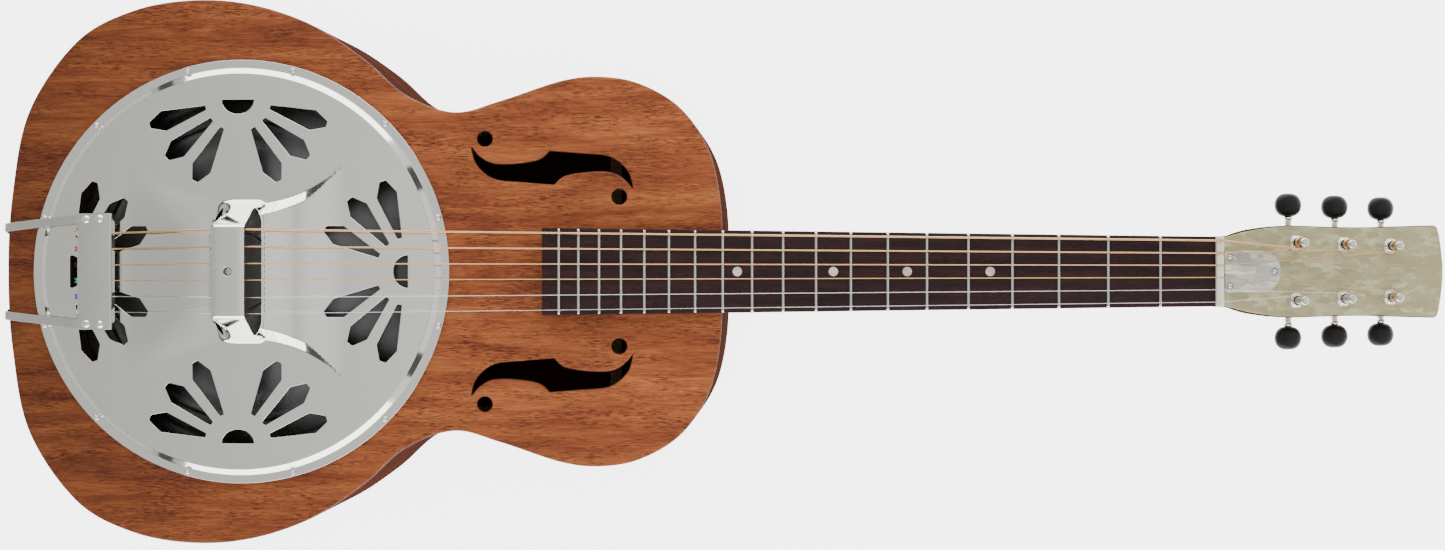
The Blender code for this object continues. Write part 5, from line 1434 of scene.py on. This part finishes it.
def card(name, corners, material):
    mesh = bpy.data.meshes.new(name)
    mesh.from_pydata(corners, [], [(0, 1, 2, 3)])
    mesh.materials.append(material)
    obj = placed(name, mesh)
    obj.visible_camera = False
    obj.visible_shadow = False
    obj.visible_diffuse = False
    return obj


def direction(azimuth, elevation, distance, origin=(0.0, 0.0, 0.1)):
    a, e = math.radians(azimuth), math.radians(elevation)
    return (origin[0] + distance * math.cos(e) * math.cos(a), origin[1] + distance * math.cos(e) * math.sin(a),
            origin[2] + distance * math.sin(e))


def sky_card(name, near, far, low, high, distance, material):
    """A card between two azimuths and two elevations in degrees."""
    corners = [direction(near, low, distance), direction(far, low, distance), direction(far, high, distance),
               direction(near, high, distance)]
    card(name, corners, material)


def card_finish(name, dark, light):
    m = Nodes(name, 0.9)
    m.colour(m.mix(m.noise(m.scaled(0.1, 0.1, 0.1), 2.0), (dark,) * 3, (light,) * 3))
    return m.material


def make_world():
    """A white surround that fades towards the tail."""
    world = bpy.data.worlds.new("studio_world")
    bpy.context.scene.world = world
    world.use_nodes = True
    nodes, links = world.node_tree.nodes, world.node_tree.links
    background = nodes["Background"]
    background.inputs["Color"].default_value = (0.99, 0.99, 0.97, 1.0)
    split = nodes.new("ShaderNodeSeparateXYZ")
    links.new(nodes.new("ShaderNodeTexCoord").outputs["Generated"], split.inputs[0])
    fade = nodes.new("ShaderNodeMapRange")
    fade.interpolation_type = "SMOOTHSTEP"
    links.new(split.outputs["X"], fade.inputs["Value"])
    for socket, value in (("From Min", -0.75), ("From Max", 0.3), ("To Min", 0.62), ("To Max", 1.15)):
        fade.inputs[socket].default_value = value
    links.new(fade.outputs["Result"], background.inputs["Strength"])


def make_floor():
    m = Nodes("floor_finish", 0.9)
    cloud = m.noise(m.scaled(0.4, 0.4, 0.4), 2.0, 0.5)
    m.colour(m.mix(cloud, (0.88, 0.88, 0.88), (0.90, 0.90, 0.90)))
    m.shader.inputs["Emission Color"].default_value = (1.0, 1.0, 1.0, 1.0)
    m.shader.inputs["Emission Strength"].default_value = FLOOR_GLOW
    mesh = bpy.data.meshes.new("studio_floor")
    corners = [(x * FLOOR_REACH, y * FLOOR_REACH, 0) for x, y in ((-1, -1), (1, -1), (1, 1), (-1, 1))]
    mesh.from_pydata(corners, [], [(0, 1, 2, 3)])
    mesh.materials.append(m.material)
    floor = placed("studio_floor", mesh)
    floor.location.z = -0.0003


def make_cards():
    """Dark and grey cards that the polished metal mirrors, and a softbox on each side."""
    dark = card_finish("dark_card_finish", 0.004, 0.006)
    for side in (1, -1):
        softbox(f"strip_{'bass' if side > 0 else 'treble'}", (0.45, side * 1.55, 0.62), (0.45, 0.0, 0.25),
                (3.0, 1.0), 4.5)
        for name, near, far in (("head", 33, 43), ("tail", 127, 131)):
            sky_card(f"card_{name}_{side}", side * near, side * far, 0, 40, 2.2, dark)
    sky_card("card_front", -38, 38, 44, 58, 2.4, dark)
    sky_card("card_high_bass", 90, 132, 21, 41, 2.3, dark)
    sky_card("card_high_treble", -132, -114, 21, 40, 2.3, dark)
    grey = card_finish("grey_card_finish", 0.20, 0.22)
    for name, near, far, height, finish in (
            ("low_bass", 122, 131, 0.135, dark), ("low_treble", -131, -126, 0.135, dark),
            ("tail_bass", 131, 180, 0.25, grey), ("tail_treble", -180, -131, 0.25, grey)):
        for step in range(4):
            ends = [direction(near + (far - near) * (step + k) / 4, 0, 0.75, (0.0, 0.0, 0.0)) for k in (0, 1)]
            corners = [(x, y, z) for z, pair in ((0.0, ends), (height, ends[::-1])) for x, y, _ in pair]
            card(f"card_{name}_{step}", corners, finish)


def make_camera():
    data = bpy.data.cameras.new("camera")
    data.sensor_width = 36.0
    data.lens = 39.5
    data.shift_x = 0.0093
    data.shift_y = -0.0024
    data.clip_end = 60.0
    camera = placed("camera", data)
    right = Vector((math.cos(NECK_ANGLE), 0.0, -math.sin(NECK_ANGLE)))
    out = Vector((math.sin(NECK_ANGLE), 0.0, math.cos(NECK_ANGLE)))
    place = neck_point(0.30875, 0.0, 0.0) + out * 1.020
    camera.matrix_world = Matrix(((right.x, 0.0, out.x, place.x), (right.y, 1.0, out.y, place.y),
                                  (right.z, 0.0, out.z, place.z), (0.0, 0.0, 0.0, 1.0)))
    bpy.context.scene.camera = camera


def main():
    make_camera()
    make_body()
    make_cover()
    make_resonator()
    make_tailpiece()
    make_strings()
    make_neck()
    make_fingerboard()
    make_nut()
    make_head()
    make_tuners()
    dress_cad_nodes()
    make_world()
    make_floor()
    make_cards()


main()
